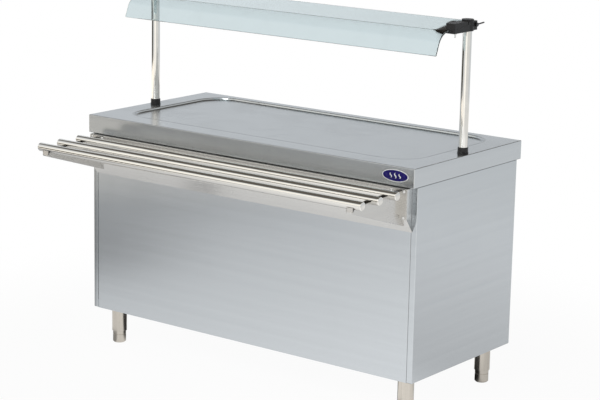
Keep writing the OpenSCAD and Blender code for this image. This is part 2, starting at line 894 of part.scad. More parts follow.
module panel_screws() {
    color("white") {
        panel_holes(header_y - 6, panel_y + panel_t, 3.8);
        panel_holes(panel_y + panel_t, panel_y + panel_t + 2, 7);
    }
}

// The sheet box that keeps the wiring apart from the cupboard.
module control_box() {
    color("gainsboro")
    difference() {
        box(box_x0, box_x1, header_y - control_deep, header_y, box_z0, box_z1);
        box(box_x0 + sheet, box_x1 - sheet, header_y - control_deep + sheet, header_y + cut,
            box_z0 + sheet, box_z1 - sheet);
        rod_z(knob_x, capillary_y, box_z1 - 2 * sheet, box_z1 + cut, capillary_d + 2 * ease);
    }
}

// The thermostat's housing with its shaft.
module thermostat_body() {
    color("ivory") {
        box(knob_x - 22, knob_x + 22, panel_y - 30, panel_y, control_z - 20, control_z + 20);
        rod_y(knob_x, panel_y - 1, panel_y + panel_t + knob_h - 5, control_z, shaft_d);
    }
}

// The thermostat's capillary, and its bulb on the insulation under the elements.
module thermostat_bulb() {
    color("peru") {
        rod_y(knob_x, capillary_y, panel_y - 30, control_z + 10, capillary_d);
        translate([knob_x, capillary_y, control_z + 10]) sphere(d = capillary_d);
        rod_z(knob_x, capillary_y, control_z + 10, capillary_z, capillary_d);
        translate([knob_x, capillary_y, capillary_z]) sphere(d = capillary_d);
        rod_y(knob_x, heater_mid_y + 39, capillary_y, capillary_z, capillary_d);
        rod_y(knob_x, heater_mid_y - 40, heater_mid_y + 40, capillary_z, bulb_d);
    }
}

// The knob: skirt, grip and pointer rib, bored for the shaft.
module thermostat_knob() {
    y0 = panel_y + panel_t + 1;
    y1 = panel_y + panel_t + knob_h;
    color("black")
    difference() {
        union() {
            rod_y(knob_x, y0, y0 + 4, control_z, knob_d);
            rod_y(knob_x, y0, y1, control_z, knob_d * 0.72);
            box(knob_x - 3, knob_x + 3, y0, y1, control_z, control_z + knob_d / 2 - 1);
        }
        rod_y(knob_x, y0 - cut, y1 - 4, control_z, shaft_d + 2 * running_fit);
    }
}

// The switch's housing with a well for the rocker.
module switch_body() {
    color("dimgray")
    difference() {
        union() {
            box(switch_x - switch_w / 2, switch_x + switch_w / 2, panel_y + panel_t, panel_y + panel_t + 2,
                control_z - switch_h / 2, control_z + switch_h / 2);
            box(switch_x - switch_w / 2 + 1 + touch, switch_x + switch_w / 2 - 1 - touch, panel_y - 24,
                panel_y + panel_t + 2, control_z - switch_h / 2 + 1 + touch, control_z + switch_h / 2 - 1 - touch);
        }
        box(switch_x - switch_w / 2 + 4, switch_x + switch_w / 2 - 4, panel_y - 18, panel_y + panel_t + 3,
            control_z - switch_h / 2 + 3, control_z + switch_h / 2 - 3);
        rod_x(switch_x - switch_w / 2 + 2.5, switch_x + switch_w / 2 - 2.5, panel_y - 2, control_z,
            2 + 2 * running_fit);
    }
}

// The rocker, tilted to its off position about its pins.
module switch_rocker() {
    half = switch_w / 2 - 4 - touch;
    color("red")
    translate([0, panel_y - 2, control_z])
    rotate([rocker_tilt, 0, 0])
    translate([0, -panel_y + 2, -control_z]) {
        along_x(switch_x - half, switch_x + half)
        polygon([
            [panel_y - 5, control_z - 7], [panel_y + 4, control_z - switch_h / 2 + 4.5],
            [panel_y + 6.5, control_z - switch_h / 2 + 5.5], [panel_y + 4.5, control_z],
            [panel_y + 6.5, control_z + switch_h / 2 - 5.5], [panel_y + 4, control_z + switch_h / 2 - 4.5],
            [panel_y - 5, control_z + 7]
        ]);
        rod_x(switch_x - half - 1.5, switch_x + half + 1.5, panel_y - 2, control_z, 2);
    }
}

module pilot_lamp() {
    color("orange") {
        rod_y(lamp_x, panel_y - 20, panel_y + panel_t, control_z, 10);
        rod_y(lamp_x, panel_y + panel_t, panel_y + panel_t + 2, control_z, 14);
        translate([lamp_x, panel_y + panel_t + 2, control_z])
        rotate([-90, 0, 0])
        cylinder(h = 4, d1 = 10, d2 = 7);
    }
}

// A row of five screw terminals on the box's floor.
module terminal_block() {
    color("ivory")
    difference() {
        box(gland_x - 30, gland_x + 30, header_y - 70, header_y - 48, box_z0 + sheet, box_z0 + sheet + 20);
        for (i = [-2 : 2])
            rod_z(gland_x + i * 11, header_y - 59, box_z0 + 10, box_z0 + sheet + 20 + cut, 6);
    }
}

// The mains gland, its bore open for the cable.
module cable_gland() {
    color("dimgray")
    difference() {
        union() {
            rod_y(gland_x, header_y - 12, body_y1 + 4, control_z, 25);
            translate([gland_x, body_y1 + 5, control_z]) rotate([90, 0, 0]) cylinder(h = 5, d = 34, $fn = 6);
            rod_y(gland_x, body_y1 + 4, body_y1 + 18, control_z, 27);
            translate([gland_x, header_y, control_z]) rotate([90, 0, 0]) cylinder(h = 5, d = 34, $fn = 6);
        }
        rod_y(gland_x, header_y - 12 - cut, body_y1 + 18 + cut, control_z, gland_bore);
    }
}

// ---------- doors ----------

// A pan-shaped sliding door with runner fins and a hole for its handle cup.
module door(x0, x1, lane, grip_x) {
    y0 = lane - door_t / 2;
    y1 = lane + door_t / 2;
    color("silver")
    difference() {
        union() {
            difference() {
                box(x0, x1, y0, y1, door_z0, door_z1);
                box(x0 + sheet, x1 - sheet, y0 - cut, y1 - sheet, door_z0 + sheet, door_z1 - sheet);
            }
            box(x0 + 5, x1 - 5, lane - fin_t / 2, lane + fin_t / 2, shelf_z + track_floor + touch,
                door_z0 + sheet);
            box(x0 + 5, x1 - 5, lane - fin_t / 2, lane + fin_t / 2, door_z1 - sheet,
                header_z - touch - track_floor - 2);
        }
        box(grip_x - handle_w / 2 + 4, grip_x + handle_w / 2 - 4, y1 - 2 * sheet, y1 + cut,
            handle_z - handle_l / 2 + 4, handle_z + handle_l / 2 - 4);
    }
}

// A recessed handle cup.
module door_handle(lane, grip_x) {
    y1 = lane + door_t / 2;
    color("black")
    difference() {
        union() {
            box(grip_x - handle_w / 2, grip_x + handle_w / 2, y1, y1 + 1.5,
                handle_z - handle_l / 2, handle_z + handle_l / 2);
            box(grip_x - handle_w / 2 + 4 + touch, grip_x + handle_w / 2 - 4 - touch, y1 - handle_deep, y1 + 1,
                handle_z - handle_l / 2 + 4 + touch, handle_z + handle_l / 2 - 4 - touch);
        }
        box(grip_x - handle_w / 2 + 6, grip_x + handle_w / 2 - 6, y1 - handle_deep + 1.5, y1 + 2,
            handle_z - handle_l / 2 + 6, handle_z + handle_l / 2 - 6);
    }
}

// ---------- badge ----------

// A plain oval plate without any lettering.
module badge() {
    color("midnightblue")
    translate([end_x - badge_set, y_front, worktop_h - apron_h * 0.48])
    rotate([90, 0, 0])
    linear_extrude(badge_t)
    scale([badge_w / badge_h, 1]) circle(d = badge_h);
}

worktop();
mirror([1, 0, 0]) side_panel();  // side_panel_left
side_panel();  // side_panel_right
front_panel();
base_shelf();
mid_shelf();
rear_header();
door_track_top();
door_track_bottom();
leg(-leg_x, leg_y0);  // leg_front_left
leg(leg_x, leg_y0);  // leg_front_right
leg(-leg_x, leg_y1);  // leg_rear_left
leg(leg_x, leg_y1);  // leg_rear_right
foot(-leg_x, leg_y0);  // foot_front_left
foot(leg_x, leg_y0);  // foot_front_right
foot(-leg_x, leg_y1);  // foot_rear_left
foot(leg_x, leg_y1);  // foot_rear_right
leg_bolts();
console();
tray_bracket(-arm_x);  // tray_bracket_left
tray_bracket(arm_x);  // tray_bracket_right
tray_tube(0);  // tray_tube_front
tray_tube(1);  // tray_tube_middle
tray_tube(2);  // tray_tube_rear
tray_tube_caps();
bracket_bolts();
post(-post_x);  // post_left
post(post_x);  // post_right
post_collars();
post_nuts();
mirror([1, 0, 0]) clamp_body();  // clamp_body_left
clamp_body();  // clamp_body_right
mirror([1, 0, 0]) clamp_jaw();  // clamp_jaw_left
clamp_jaw();  // clamp_jaw_right
clamp_pads();
clamp_screws();
mirror([1, 0, 0]) clamp_lever();  // clamp_lever_left
clamp_lever();  // clamp_lever_right
glass_guard();
heating_elements();
element_straps();
insulation_board();
heater_cover();
heater_screws();
control_panel();
panel_screws();
control_box();
thermostat_body();
thermostat_bulb();
thermostat_knob();
switch_body();
switch_rocker();
pilot_lamp();
terminal_block();
cable_gland();
door(-door_x, door_w - door_x, lane_out, -door_x + handle_in);  // door_left
door(door_x - door_w, door_x, lane_in, door_x - handle_in);  // door_right
door_handle(lane_out, -door_x + handle_in);  // door_handle_left
door_handle(lane_in, door_x - handle_in);  // door_handle_right
badge();
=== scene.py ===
"""Looks of a heated self-service counter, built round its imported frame.

All lengths are metres in the frame's own axes: +X to the right seen by a customer, +Y towards
the operator, +Z up. Folded sheets are outlines with real bend radii, carried along an edge or
lofted ring by ring. Tubes, caps and feet are turned profiles. Small castings and mouldings are
copies of the frame's nodes with their edges rounded.
"""
import json
import math

import bmesh
import bpy
import numpy as np
from mathutils import Matrix, Vector

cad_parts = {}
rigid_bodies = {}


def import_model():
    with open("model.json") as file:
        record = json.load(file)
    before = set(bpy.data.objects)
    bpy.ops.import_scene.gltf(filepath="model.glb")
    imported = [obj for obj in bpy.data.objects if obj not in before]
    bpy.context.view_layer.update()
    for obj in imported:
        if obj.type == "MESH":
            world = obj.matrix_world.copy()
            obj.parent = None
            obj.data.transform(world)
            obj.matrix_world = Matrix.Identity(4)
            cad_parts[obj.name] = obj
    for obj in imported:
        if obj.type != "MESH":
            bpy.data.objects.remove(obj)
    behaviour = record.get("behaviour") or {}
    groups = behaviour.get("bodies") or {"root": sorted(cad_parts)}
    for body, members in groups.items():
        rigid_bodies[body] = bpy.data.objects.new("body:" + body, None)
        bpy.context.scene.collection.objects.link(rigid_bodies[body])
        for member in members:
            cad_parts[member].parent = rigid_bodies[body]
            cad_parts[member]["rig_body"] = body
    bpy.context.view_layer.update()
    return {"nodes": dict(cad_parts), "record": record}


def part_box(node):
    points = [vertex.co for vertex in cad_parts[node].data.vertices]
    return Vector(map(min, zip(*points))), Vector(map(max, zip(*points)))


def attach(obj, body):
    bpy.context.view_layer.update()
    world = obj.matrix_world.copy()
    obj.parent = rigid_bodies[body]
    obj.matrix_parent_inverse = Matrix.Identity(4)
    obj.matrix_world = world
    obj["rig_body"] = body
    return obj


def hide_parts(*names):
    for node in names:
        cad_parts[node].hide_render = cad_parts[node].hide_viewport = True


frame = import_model()

MM = 0.001
SHEET = 1.2 * MM
BEND = 2.5 * MM
SHARP_ANGLE = 38
PLANES = {"x": (1, 2, 0), "y": (0, 2, 1), "z": (0, 1, 2)}
SLOTS = {row["node"]: row["material_slot"] for row in frame["record"]["subparts"]}


# ---------------------------------------------------------------- outlines and surfaces

def corners(node):
    """A frame node's lowest and highest corner, as arrays."""
    low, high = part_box(node)
    return np.array(low), np.array(high)


def centre_of(node):
    """The middle of a frame node's box."""
    low, high = corners(node)
    return (low + high) / 2


def unit(vectors):
    """The vectors divided by their lengths."""
    return vectors / np.linalg.norm(vectors, axis=-1, keepdims=True)


def bent(points, radii, steps=6, closed=False):
    """Straight runs joined by arcs: each arc touches both runs, and its centre lies
    radius / sin(half the angle between them) from the corner, on their bisector."""
    points = np.array(points, float)
    count = len(points)
    radii = np.broadcast_to(radii, count)
    chain = []
    for i in range(count):
        here = points[i]
        if radii[i] == 0 or (not closed and i in (0, count - 1)):
            chain.append(here[None])
            continue
        back, ahead = unit(points[i - 1] - here), unit(points[(i + 1) % count] - here)
        half = math.acos(np.clip(back @ ahead, -1, 1)) / 2
        centre = here + unit(back + ahead) * radii[i] / math.sin(half)
        first = here + back * radii[i] / math.tan(half) - centre
        last = here + ahead * radii[i] / math.tan(half) - centre
        start = math.atan2(first[1], first[0])
        turn = (math.atan2(last[1], last[0]) - start + math.pi) % (2 * math.pi) - math.pi
        angle = start + turn * np.linspace(0, 1, steps + 1)
        chain.append(centre + radii[i] * np.stack([np.cos(angle), np.sin(angle)], 1))
    return np.concatenate(chain)


def divided(path, longest):
    """The path with each run split into equal parts no longer than the given length."""
    chain = [path[:1]]
    for start, end in zip(path[:-1], path[1:]):
        parts = max(1, math.ceil(np.linalg.norm(end - start) / longest))
        share = np.arange(1, parts + 1)[:, None] / parts
        chain.append(start + (end - start) * share)
    return np.concatenate(chain)


def parallel(path, distance, closed=False):
    """The path moved sideways: each point goes along the mean normal of its two runs, and
    further by one over the cosine of half the turn there."""
    after = np.roll(path, -1, axis=0) - path
    before = path - np.roll(path, 1, axis=0)
    if not closed:
        after[-1] = before[-1]
        before[0] = after[0]
    normals = [unit(np.stack([-run[:, 1], run[:, 0]], 1)) for run in (before, after)]
    mean = unit(normals[0] + normals[1])
    reach = distance / np.sum(mean * normals[0], axis=1)
    return path + mean * reach[:, None]


def lofted(rings, ends=True):
    """Four-sided faces between neighbouring rings, with one face across each end ring."""
    count, size = rings.shape[:2]
    index = np.arange(count * size).reshape(count, size)
    beside = np.roll(index, -1, axis=1)
    faces = np.stack([index[:-1], beside[:-1], beside[1:], index[1:]], -1).reshape(-1, 4).tolist()
    if ends:
        faces += [index[0, ::-1].tolist(), index[-1].tolist()]
    return rings.reshape(-1, 3), faces


def carried(outline, axis, stations):
    """The rings of one outline set at each station along an axis."""
    across, up, along = PLANES[axis]
    rings = np.empty((len(stations), len(outline), 3))
    rings[:, :, across] = outline[None, :, 0]
    rings[:, :, up] = outline[None, :, 1]
    rings[:, :, along] = np.asarray(stations)[:, None]
    return rings


def folded(path, thickness, axis, stations, shape=None):
    """A bent sheet: the path and its parallel one thickness away, carried along an axis.
    Both ends are closed by a row of four-sided faces from the path to its parallel."""
    outline = np.concatenate([path, parallel(path, thickness)[::-1]])
    rings = carried(outline, axis, stations)
    if shape is not None:
        rings = shape(rings)
    points, faces = lofted(rings, ends=False)
    size = len(outline)
    near = np.arange(len(path) - 1)
    strip = np.stack([near, near + 1, size - 2 - near, size - 1 - near], 1)
    faces += strip[:, ::-1].tolist() + (strip + (len(stations) - 1) * size).tolist()
    return points, faces


def plate(outline, axis, start, end, edge):
    """A flat plate of any outline with rounded edges: the outline is drawn in by
    edge * (1 - sin) where it rises by edge * (1 - cos) from either face."""
    angle = np.radians([0, 22.5, 45, 67.5, 90])
    way = 1 if polygon_area(outline) > 0 else -1
    drawn = [parallel(outline, way * edge * (1 - math.sin(a)), closed=True) for a in angle]
    rises = edge * (1 - np.cos(angle))
    stations = np.concatenate([start + rises, end - rises[::-1]])
    rings = np.concatenate([carried(o, axis, [s]) for o, s in zip(drawn + drawn[::-1], stations)])
    return lofted(rings)


def polygon_area(outline):
    """Half the sum of cross products of neighbouring corners: positive if anticlockwise."""
    ahead = np.roll(outline, -1, axis=0)
    return np.sum(outline[:, 0] * ahead[:, 1] - outline[:, 1] * ahead[:, 0]) / 2


def ring_pattern(corner, long, short):
    """Rows (side a, side b, arc a, arc b) of a rounded rectangle's points. A point lies at
    centre + side * (half - radius) + arc * radius; sides are split into equal parts."""
    signs = np.array([[1, 1], [-1, 1], [-1, -1], [1, -1]], float)
    rows = []
    for quarter in range(4):
        here, ahead = signs[quarter], signs[(quarter + 1) % 4]
        angle = np.radians(90 * quarter + np.linspace(0, 90, corner + 1))
        arc = np.stack([np.cos(angle), np.sin(angle)], 1)
        rows.append(np.hstack([np.tile(here, (corner + 1, 1)), arc]))
        parts = (long, short)[quarter % 2]
        share = np.arange(1, parts)[:, None] / parts
        rows.append(np.hstack([here + (ahead - here) * share, np.tile(arc[-1], (parts - 1, 1))]))
    return np.concatenate(rows)


def rounded_rings(rows, axis, pattern):
    """One rounded rectangle for each row (centre a, centre b, half a, half b, radius, height),
    in the plane across the axis."""
    rows = np.asarray(rows, float)
    across, up, along = PLANES[axis]
    side, arc = pattern[None, :, :2], pattern[None, :, 2:]
    radius = rows[:, None, 4:5]
    flat = rows[:, None, 0:2] + side * (rows[:, None, 2:4] - radius) + arc * radius
    rings = np.empty(flat.shape[:2] + (3,))
    rings[..., across], rings[..., up] = flat[..., 0], flat[..., 1]
    rings[..., along] = rows[:, 5:6]
    return rings


def slab(low, high, edge, corner=None, axis="z"):
    """A block with rounded edges: its rings are drawn in by edge * (1 - sin) near both ends."""
    low, high = np.array(low, float), np.array(high, float)
    across, up, along = PLANES[axis]
    middle, half = (low + high) / 2, (high - low) / 2
    corner = edge if corner is None else corner
    angle = np.radians(np.linspace(0, 90, 5))
    inset = np.concatenate([edge * (1 - np.sin(angle)), edge * (1 - np.sin(angle[::-1]))])
    rise = edge * (1 - np.cos(angle))
    height = np.concatenate([low[along] + rise, high[along] - rise[::-1]])
    rows = [(middle[across], middle[up], half[across] - i, half[up] - i, max(corner - i, edge / 10), h)
            for i, h in zip(inset, height)]
    return lofted(rounded_rings(rows, axis, ring_pattern(4, 1, 1)))


def pan(middle, half, face, inward, wall, axis, bend=BEND, corner=3 * MM, step=0.06, shape=None):
    """A shallow pressed pan. Its section runs from the face's middle out to the edge, round the
    bend and down the wall, and back one sheet thickness inside. Each point of the section
    is one rounded rectangle, smaller by its distance in from the edge."""
    deepest = min(half) - 2 * MM
    section = divided(bent([(deepest, 0), (0, 0), (0, wall)], [0, bend, 0]), step)
    section = np.concatenate([section, parallel(section, -SHEET)[::-1]])
    rows = [(middle[0], middle[1], half[0] - i, half[1] - i, max(corner - i, 0.4 * MM), face + inward * d)
            for i, d in section]
    parts = [max(2, round(2 * h / step)) for h in half]
    rings = rounded_rings(rows, axis, ring_pattern(5, *parts))
    if shape is not None:
        rings = shape(rings)
    return lofted(rings)


def turned(profile, centre, axis="z", sides=64, shape=None):
    """A profile of (radius, height) turned about an axis through the centre. Where shape is
    given, it multiplies the radius as a function of angle and height."""
    profile = np.asarray(profile, float)
    across, up, along = PLANES[axis]
    angle = np.arange(sides) * 2 * math.pi / sides
    radius = np.repeat(profile[:, :1], sides, axis=1)
    height = np.repeat(profile[:, 1:], sides, axis=1)
    if shape is not None:
        radius = radius * shape(angle[None, :], height)
    rings = np.empty(radius.shape + (3,))
    rings[..., across] = centre[across] + radius * np.cos(angle)
    rings[..., up] = centre[up] + radius * np.sin(angle)
    rings[..., along] = centre[along] + height
    return lofted(rings, ends=False)


def tube(centre, axis, outer, inner, start, end, sides=64, lip=0.4 * MM):
    """A hollow tube with slightly rounded ends: a closed profile turned about its axis."""
    outline = bent([(inner, start), (outer, start), (outer, end), (inner, end)], lip, 3, closed=True)
    return turned(np.vstack([outline, outline[:1]]), centre, axis, sides)


def button_head(centre, axis, way, radius, rise, socket):
    """A domed screw head with a hexagon socket: circles rise on a dome, then six-sided
    rings whose radius is socket / cos(angle from the middle of each side) go down."""
    across, up, along = PLANES[axis]
    angle = np.arange(48) * 2 * math.pi / 48
    hexagon = socket / np.cos((angle + math.pi / 6) % (math.pi / 3) - math.pi / 6)
    dome = np.radians(np.linspace(0, 62, 6))
    circles = [(radius * np.ones(48), 0.0)]
    circles += [(radius * np.cos(a) * np.ones(48), rise * (0.25 + 0.85 * math.sin(a))) for a in dome]
    circles += [(hexagon * 1.08, rise), (hexagon, rise * 0.94), (hexagon, rise * 0.3)]
    rings = np.empty((len(circles), 48, 3))
    for ring, (radii, height) in zip(rings, circles):
        ring[:, across] = centre[across] + radii * np.cos(angle)
        ring[:, up] = centre[up] + radii * np.sin(angle)
        ring[:, along] = centre[along] + way * height
    return lofted(rings)


def button_screw(x, z, seat, tip, head, socket, shank_r, sides):
    """A button head, given as its radius and rise, on a plain shank along Y from its seat to
    its tip."""
    low, high = min(seat, tip), max(seat, tip)
    shank = turned([(0, low), (shank_r, low), (shank_r, high), (0, high)], (x, 0, z), "y", sides)
    return [button_head((x, seat, z), "y", 1 if seat > tip else -1, *head, socket), shank]


def mirrored(surface):
    """The same surface on the other side of the middle plane; its faces are turned later."""
    points, faces = surface
    return points * [-1, 1, 1], faces


# ---------------------------------------------------------------- pieces

def joined(surfaces):
    """The points and faces of several surfaces as one list each."""
    starts = np.cumsum([0] + [len(points) for points, _ in surfaces[:-1]])
    faces = [[i + s for i in face] for s, (_, own) in zip(starts.tolist(), surfaces) for face in own]
    return np.concatenate([points for points, _ in surfaces]), faces


def clean_mesh(name, points, faces, sharp):
    """A mesh with doubles merged and faces turned outwards, smooth but for edges sharper
    than the given angle."""
    mesh = bpy.data.meshes.new(name)
    mesh.from_pydata(np.asarray(points).tolist(), [], faces)
    shape = bmesh.new()
    shape.from_mesh(mesh)
    bmesh.ops.remove_doubles(shape, verts=shape.verts, dist=1e-6)
    bmesh.ops.dissolve_degenerate(shape, dist=1e-7, edges=shape.edges)
    bmesh.ops.recalc_face_normals(shape, faces=shape.faces)
    shape.to_mesh(mesh)
    shape.free()
    mesh.shade_smooth()
    mesh.set_sharp_from_angle(angle=math.radians(sharp))
    return mesh


def field_of(items, field, width, kind=np.float32):
    """One field of a mesh's points, corners or faces, as the rows of an array."""
    values = np.empty(len(items) * width, kind)
    items.foreach_get(field, values)
    return values.reshape(-1, width)


def grain_map(mesh):
    """A map in metres whose first axis runs level along the sheet, as its grain does: (x, z)
    on faces that look along Y, (x, y) on level ones and (y, z) on faces that look along X."""
    corner_point = field_of(mesh.loops, "vertex_index", 1, np.int32).ravel()
    corner_count = field_of(mesh.polygons, "loop_total", 1, np.int32).ravel()
    normals = np.abs(field_of(mesh.polygons, "normal", 3))
    facing = np.repeat(np.argmax(normals, axis=1), corner_count)
    place = field_of(mesh.vertices, "co", 3)[corner_point]
    first = np.where(facing == 0, place[:, 1], place[:, 0])
    second = np.where(facing == 2, place[:, 1], place[:, 2])
    layer = mesh.uv_layers.new(name="grain")
    layer.data.foreach_set("uv", np.stack([first, second], 1).astype(np.float32).ravel())


def paint_shade(mesh, shade):
    """A value from 0 to 1 at each point: the painted shade that darkens the steel."""
    points = field_of(mesh.vertices, "co", 3).astype(float)
    values = np.clip(shade(points), 0, 1).astype(np.float32)
    mesh.attributes.new("painted_shade", "FLOAT", "POINT").data.foreach_set("value", values)


def second_material(made, material, chosen):
    """A second material on the faces whose centres are chosen."""
    made.data.materials.append(material)
    centres = field_of(made.data.polygons, "center", 3)
    made.data.polygons.foreach_set("material_index", chosen(centres).astype(np.int32))


def placed(name, mesh, material, body, stands_for, bevel=0.0, segments=2, weighted=True):
    """The object of a mesh, riding on a body and standing for its frame nodes."""
    made = bpy.data.objects.new(name, mesh)
    bpy.context.scene.collection.objects.link(made)
    mesh.materials.append(material)
    if bevel:
        rounding = made.modifiers.new("rounding", "BEVEL")
        rounding.width = bevel
        rounding.segments = segments
        rounding.limit_method = "ANGLE"
        rounding.angle_limit = math.radians(50)
        rounding.miter_outer = "MITER_ARC"
    if weighted:
        flat = made.modifiers.new("flat_shading", "WEIGHTED_NORMAL")
        flat.keep_sharp = True
    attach(made, body)
    if stands_for:
        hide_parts(*stands_for)
    return made


def body_of(node):
    """The body that a frame node rides on."""
    return frame["nodes"][node]["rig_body"]


def slot_of(node):
    """The record's material slot of a frame node."""
    return SLOTS[node]


def piece(node, surfaces, bevel=0.0, sharp=SHARP_ANGLE, weighted=True, holes=(), name=None, shade=None):
    """A finished piece made of surfaces, which stands for the frame node it is named after.
    With a name of its own, it only rides with that node."""
    stands_for = () if name else (node,)
    name = name or node + "_finish"
    mesh = clean_mesh(name, *joined(surfaces), sharp)
    if holes:
        mesh = drilled(mesh, holes, sharp)
    grain_map(mesh)
    if shade is not None:
        paint_shade(mesh, shade)
    slot = slot_of(node)
    return placed(name, mesh, MATERIALS[slot], body_of(node), stands_for, bevel, weighted=weighted)


def drilled(mesh, holes, sharp):
    """The mesh with each hole's surface cut out of it."""
    work = bpy.data.objects.new("work", mesh)
    bpy.context.scene.collection.objects.link(work)
    cutters = []
    for i, hole in enumerate(holes):
        cutter = bpy.data.objects.new(f"cutter_{i}", clean_mesh("cutter", *hole, sharp))
        bpy.context.scene.collection.objects.link(cutter)
        cut = work.modifiers.new("cut", "BOOLEAN")
        cut.object = cutter
        cut.operation = "DIFFERENCE"
        cut.solver = "EXACT"
        cutters.append(cutter)
    bpy.context.view_layer.update()
    graph = bpy.context.evaluated_depsgraph_get()
    result = bpy.data.meshes.new_from_object(work.evaluated_get(graph))
    for spare in cutters + [work]:
        bpy.data.objects.remove(spare)
    result.shade_smooth()
    result.set_sharp_from_angle(angle=math.radians(sharp))
    return result


def softened(node, width, segments):
    """A copy of a frame node's mesh, merged and flattened, with its edges rounded."""
    source = frame["nodes"][node].data
    shape = bmesh.new()
    shape.from_mesh(source)
    bmesh.ops.remove_doubles(shape, verts=shape.verts, dist=2e-6)
    bmesh.ops.dissolve_limit(shape, angle_limit=math.radians(0.6), verts=shape.verts, edges=shape.edges)
    points = [v.co.copy() for v in shape.verts]
    faces = [[v.index for v in f.verts] for f in shape.faces]
    shape.free()
    name = node + "_finish"
    mesh = clean_mesh(name, points, faces, SHARP_ANGLE)
    grain_map(mesh)
    slot = slot_of(node)
    placed(name, mesh, MATERIALS[slot], body_of(node), (node,), width, segments)


# ---------------------------------------------------------------- material tools

def add(tree, kind, values=None, **settings):
    """A node with its settings. A value that is a socket is linked; any other is set."""
    made = tree.nodes.new(kind)
    for key, value in settings.items():
        setattr(made, key, value)
    for key, value in (values or {}).items():
        if isinstance(value, bpy.types.NodeSocket):
            tree.links.new(value, made.inputs[key])
        else:
            made.inputs[key].default_value = value
    return made


def maths(tree, operation, first, second=0.0, third=0.0):
    """The result of one Math node."""
    return add(tree, "ShaderNodeMath", {0: first, 1: second, 2: third}, operation=operation).outputs[0]


def summed(tree, first, second, share_1, share_2, offset=0.0):
    """share_1 * first + share_2 * second + offset."""
    rest = maths(tree, "MULTIPLY_ADD", second, share_2, offset)
    return maths(tree, "MULTIPLY_ADD", first, share_1, rest)


def ranged(tree, value, low, high, to_low=0.0, to_high=1.0, smooth=True):
    """A value carried from one range to another, clamped."""
    values = {"Value": value, "From Min": low, "From Max": high, "To Min": to_low, "To Max": to_high}
    kind = "SMOOTHSTEP" if smooth else "LINEAR"
    return add(tree, "ShaderNodeMapRange", values, interpolation_type=kind).outputs["Result"]


def product(tree, first, *others):
    """The values multiplied together."""
    for other in others:
        first = maths(tree, "MULTIPLY", first, other)
    return first


def blended(tree, share, first, second):
    """The colour between two colours."""
    return add(tree, "ShaderNodeMix", {0: share, 6: first, 7: second}, data_type="RGBA").outputs[2]


def shaded(colour, factor):
    """A colour made darker or lighter, with its alpha."""
    return [min(1, c * factor) for c in colour] + [1]


def group(name, inputs, outputs):
    """An empty node group with named sockets: its tree, what comes in and what goes out."""
    tree = bpy.data.node_groups.new(name, "ShaderNodeTree")
    for label, kind, value in inputs:
        socket = tree.interface.new_socket(label, in_out="INPUT", socket_type="NodeSocket" + kind)
        if value is not None:
            socket.default_value = value
    for label, kind in outputs:
        tree.interface.new_socket(label, in_out="OUTPUT", socket_type="NodeSocket" + kind)
    return tree, tree.nodes.new("NodeGroupInput").outputs, tree.nodes.new("NodeGroupOutput").inputs


def use(tree, made, values):
    """A group placed in a tree with its own values."""
    return add(tree, "ShaderNodeGroup", values, node_tree=made).outputs


def noise(tree, place, scale, detail=2.0, roughness=0.5, distortion=0.0):
    """The grey value of a noise texture."""
    values = {"Vector": place, "Scale": scale, "Detail": detail, "Roughness": roughness,
              "Distortion": distortion}
    return add(tree, "ShaderNodeTexNoise", values).outputs[0]


def scaled(tree, place, factors):
    """A position multiplied axis by axis."""
    return add(tree, "ShaderNodeVectorMath", {0: place, 1: factors}, operation="MULTIPLY").outputs[0]


def grain_group():
    """Brushed grain: fine and broad noise, both drawn out along the grain."""
    tree, given, out = group(
        "brushed_grain",
        [("Position", "Vector", None), ("Stretch", "Vector", (4, 900, 900)), ("Broad", "Float", 0.06)],
        [("Streak", "Float"), ("Band", "Float"), ("Height", "Float")])
    drawn_out = scaled(tree, given["Position"], given["Stretch"])
    wide = add(tree, "ShaderNodeVectorMath", {0: drawn_out, "Scale": given["Broad"]}, operation="SCALE")
    fine = noise(tree, drawn_out, 1.0, 3.0, 0.6)
    band = noise(tree, wide.outputs[0], 1.0, 2.0, 0.5)
    tree.links.new(fine, out["Streak"])
    tree.links.new(band, out["Band"])
    tree.links.new(summed(tree, fine, band, 0.8, 0.2), out["Height"])
    return tree


def wipe_group():
    """Marks left by wiping: swirled noise, cut off below a level."""
    tree, given, out = group(
        "wipe_marks",
        [("Position", "Vector", None), ("Size", "Float", 6.0), ("Amount", "Float", 1.0)],
        [("Mask", "Float")])
    cloud = noise(tree, given["Position"], given["Size"], 5.0, 0.62, 0.9)
    mask = ranged(tree, cloud, 0.42, 0.72)
    tree.links.new(product(tree, mask, given["Amount"]), out["Mask"])
    return tree


def wear_group():
    """Edge wear: how far a rounded normal leans from the true one, broken up by noise."""
    tree, given, out = group(
        "edge_wear",
        [("Position", "Vector", None), ("Radius", "Float", 0.001), ("Amount", "Float", 1.0)],
        [("Mask", "Float")])
    rounded = add(tree, "ShaderNodeBevel", {"Radius": given["Radius"]}, samples=4).outputs[0]
    true = add(tree, "ShaderNodeNewGeometry").outputs["Normal"]
    lean = add(tree, "ShaderNodeVectorMath", {0: rounded, 1: true}, operation="DOT_PRODUCT")
    edge = ranged(tree, lean.outputs["Value"], 0.985, 0.86)
    broken = ranged(tree, noise(tree, given["Position"], 260.0, 3.0, 0.7), 0.35, 0.65)
    tree.links.new(product(tree, edge, broken, given["Amount"]), out["Mask"])
    return tree


def dust_group():
    """Fine dust that lies on faces that look up, thicker where the noise is high."""
    tree, given, out = group(
        "fine_dust",
        [("Position", "Vector", None), ("Amount", "Float", 0.3)],
        [("Mask", "Float")])
    true = add(tree, "ShaderNodeNewGeometry").outputs["Normal"]
    normal = add(tree, "ShaderNodeSeparateXYZ", {0: true})
    level = ranged(tree, normal.outputs["Z"], 0.3, 0.95)
    cloud = ranged(tree, noise(tree, given["Position"], 40.0, 6.0, 0.7), 0.3, 0.8)
    tree.links.new(product(tree, level, cloud, given["Amount"]), out["Mask"])
    return tree


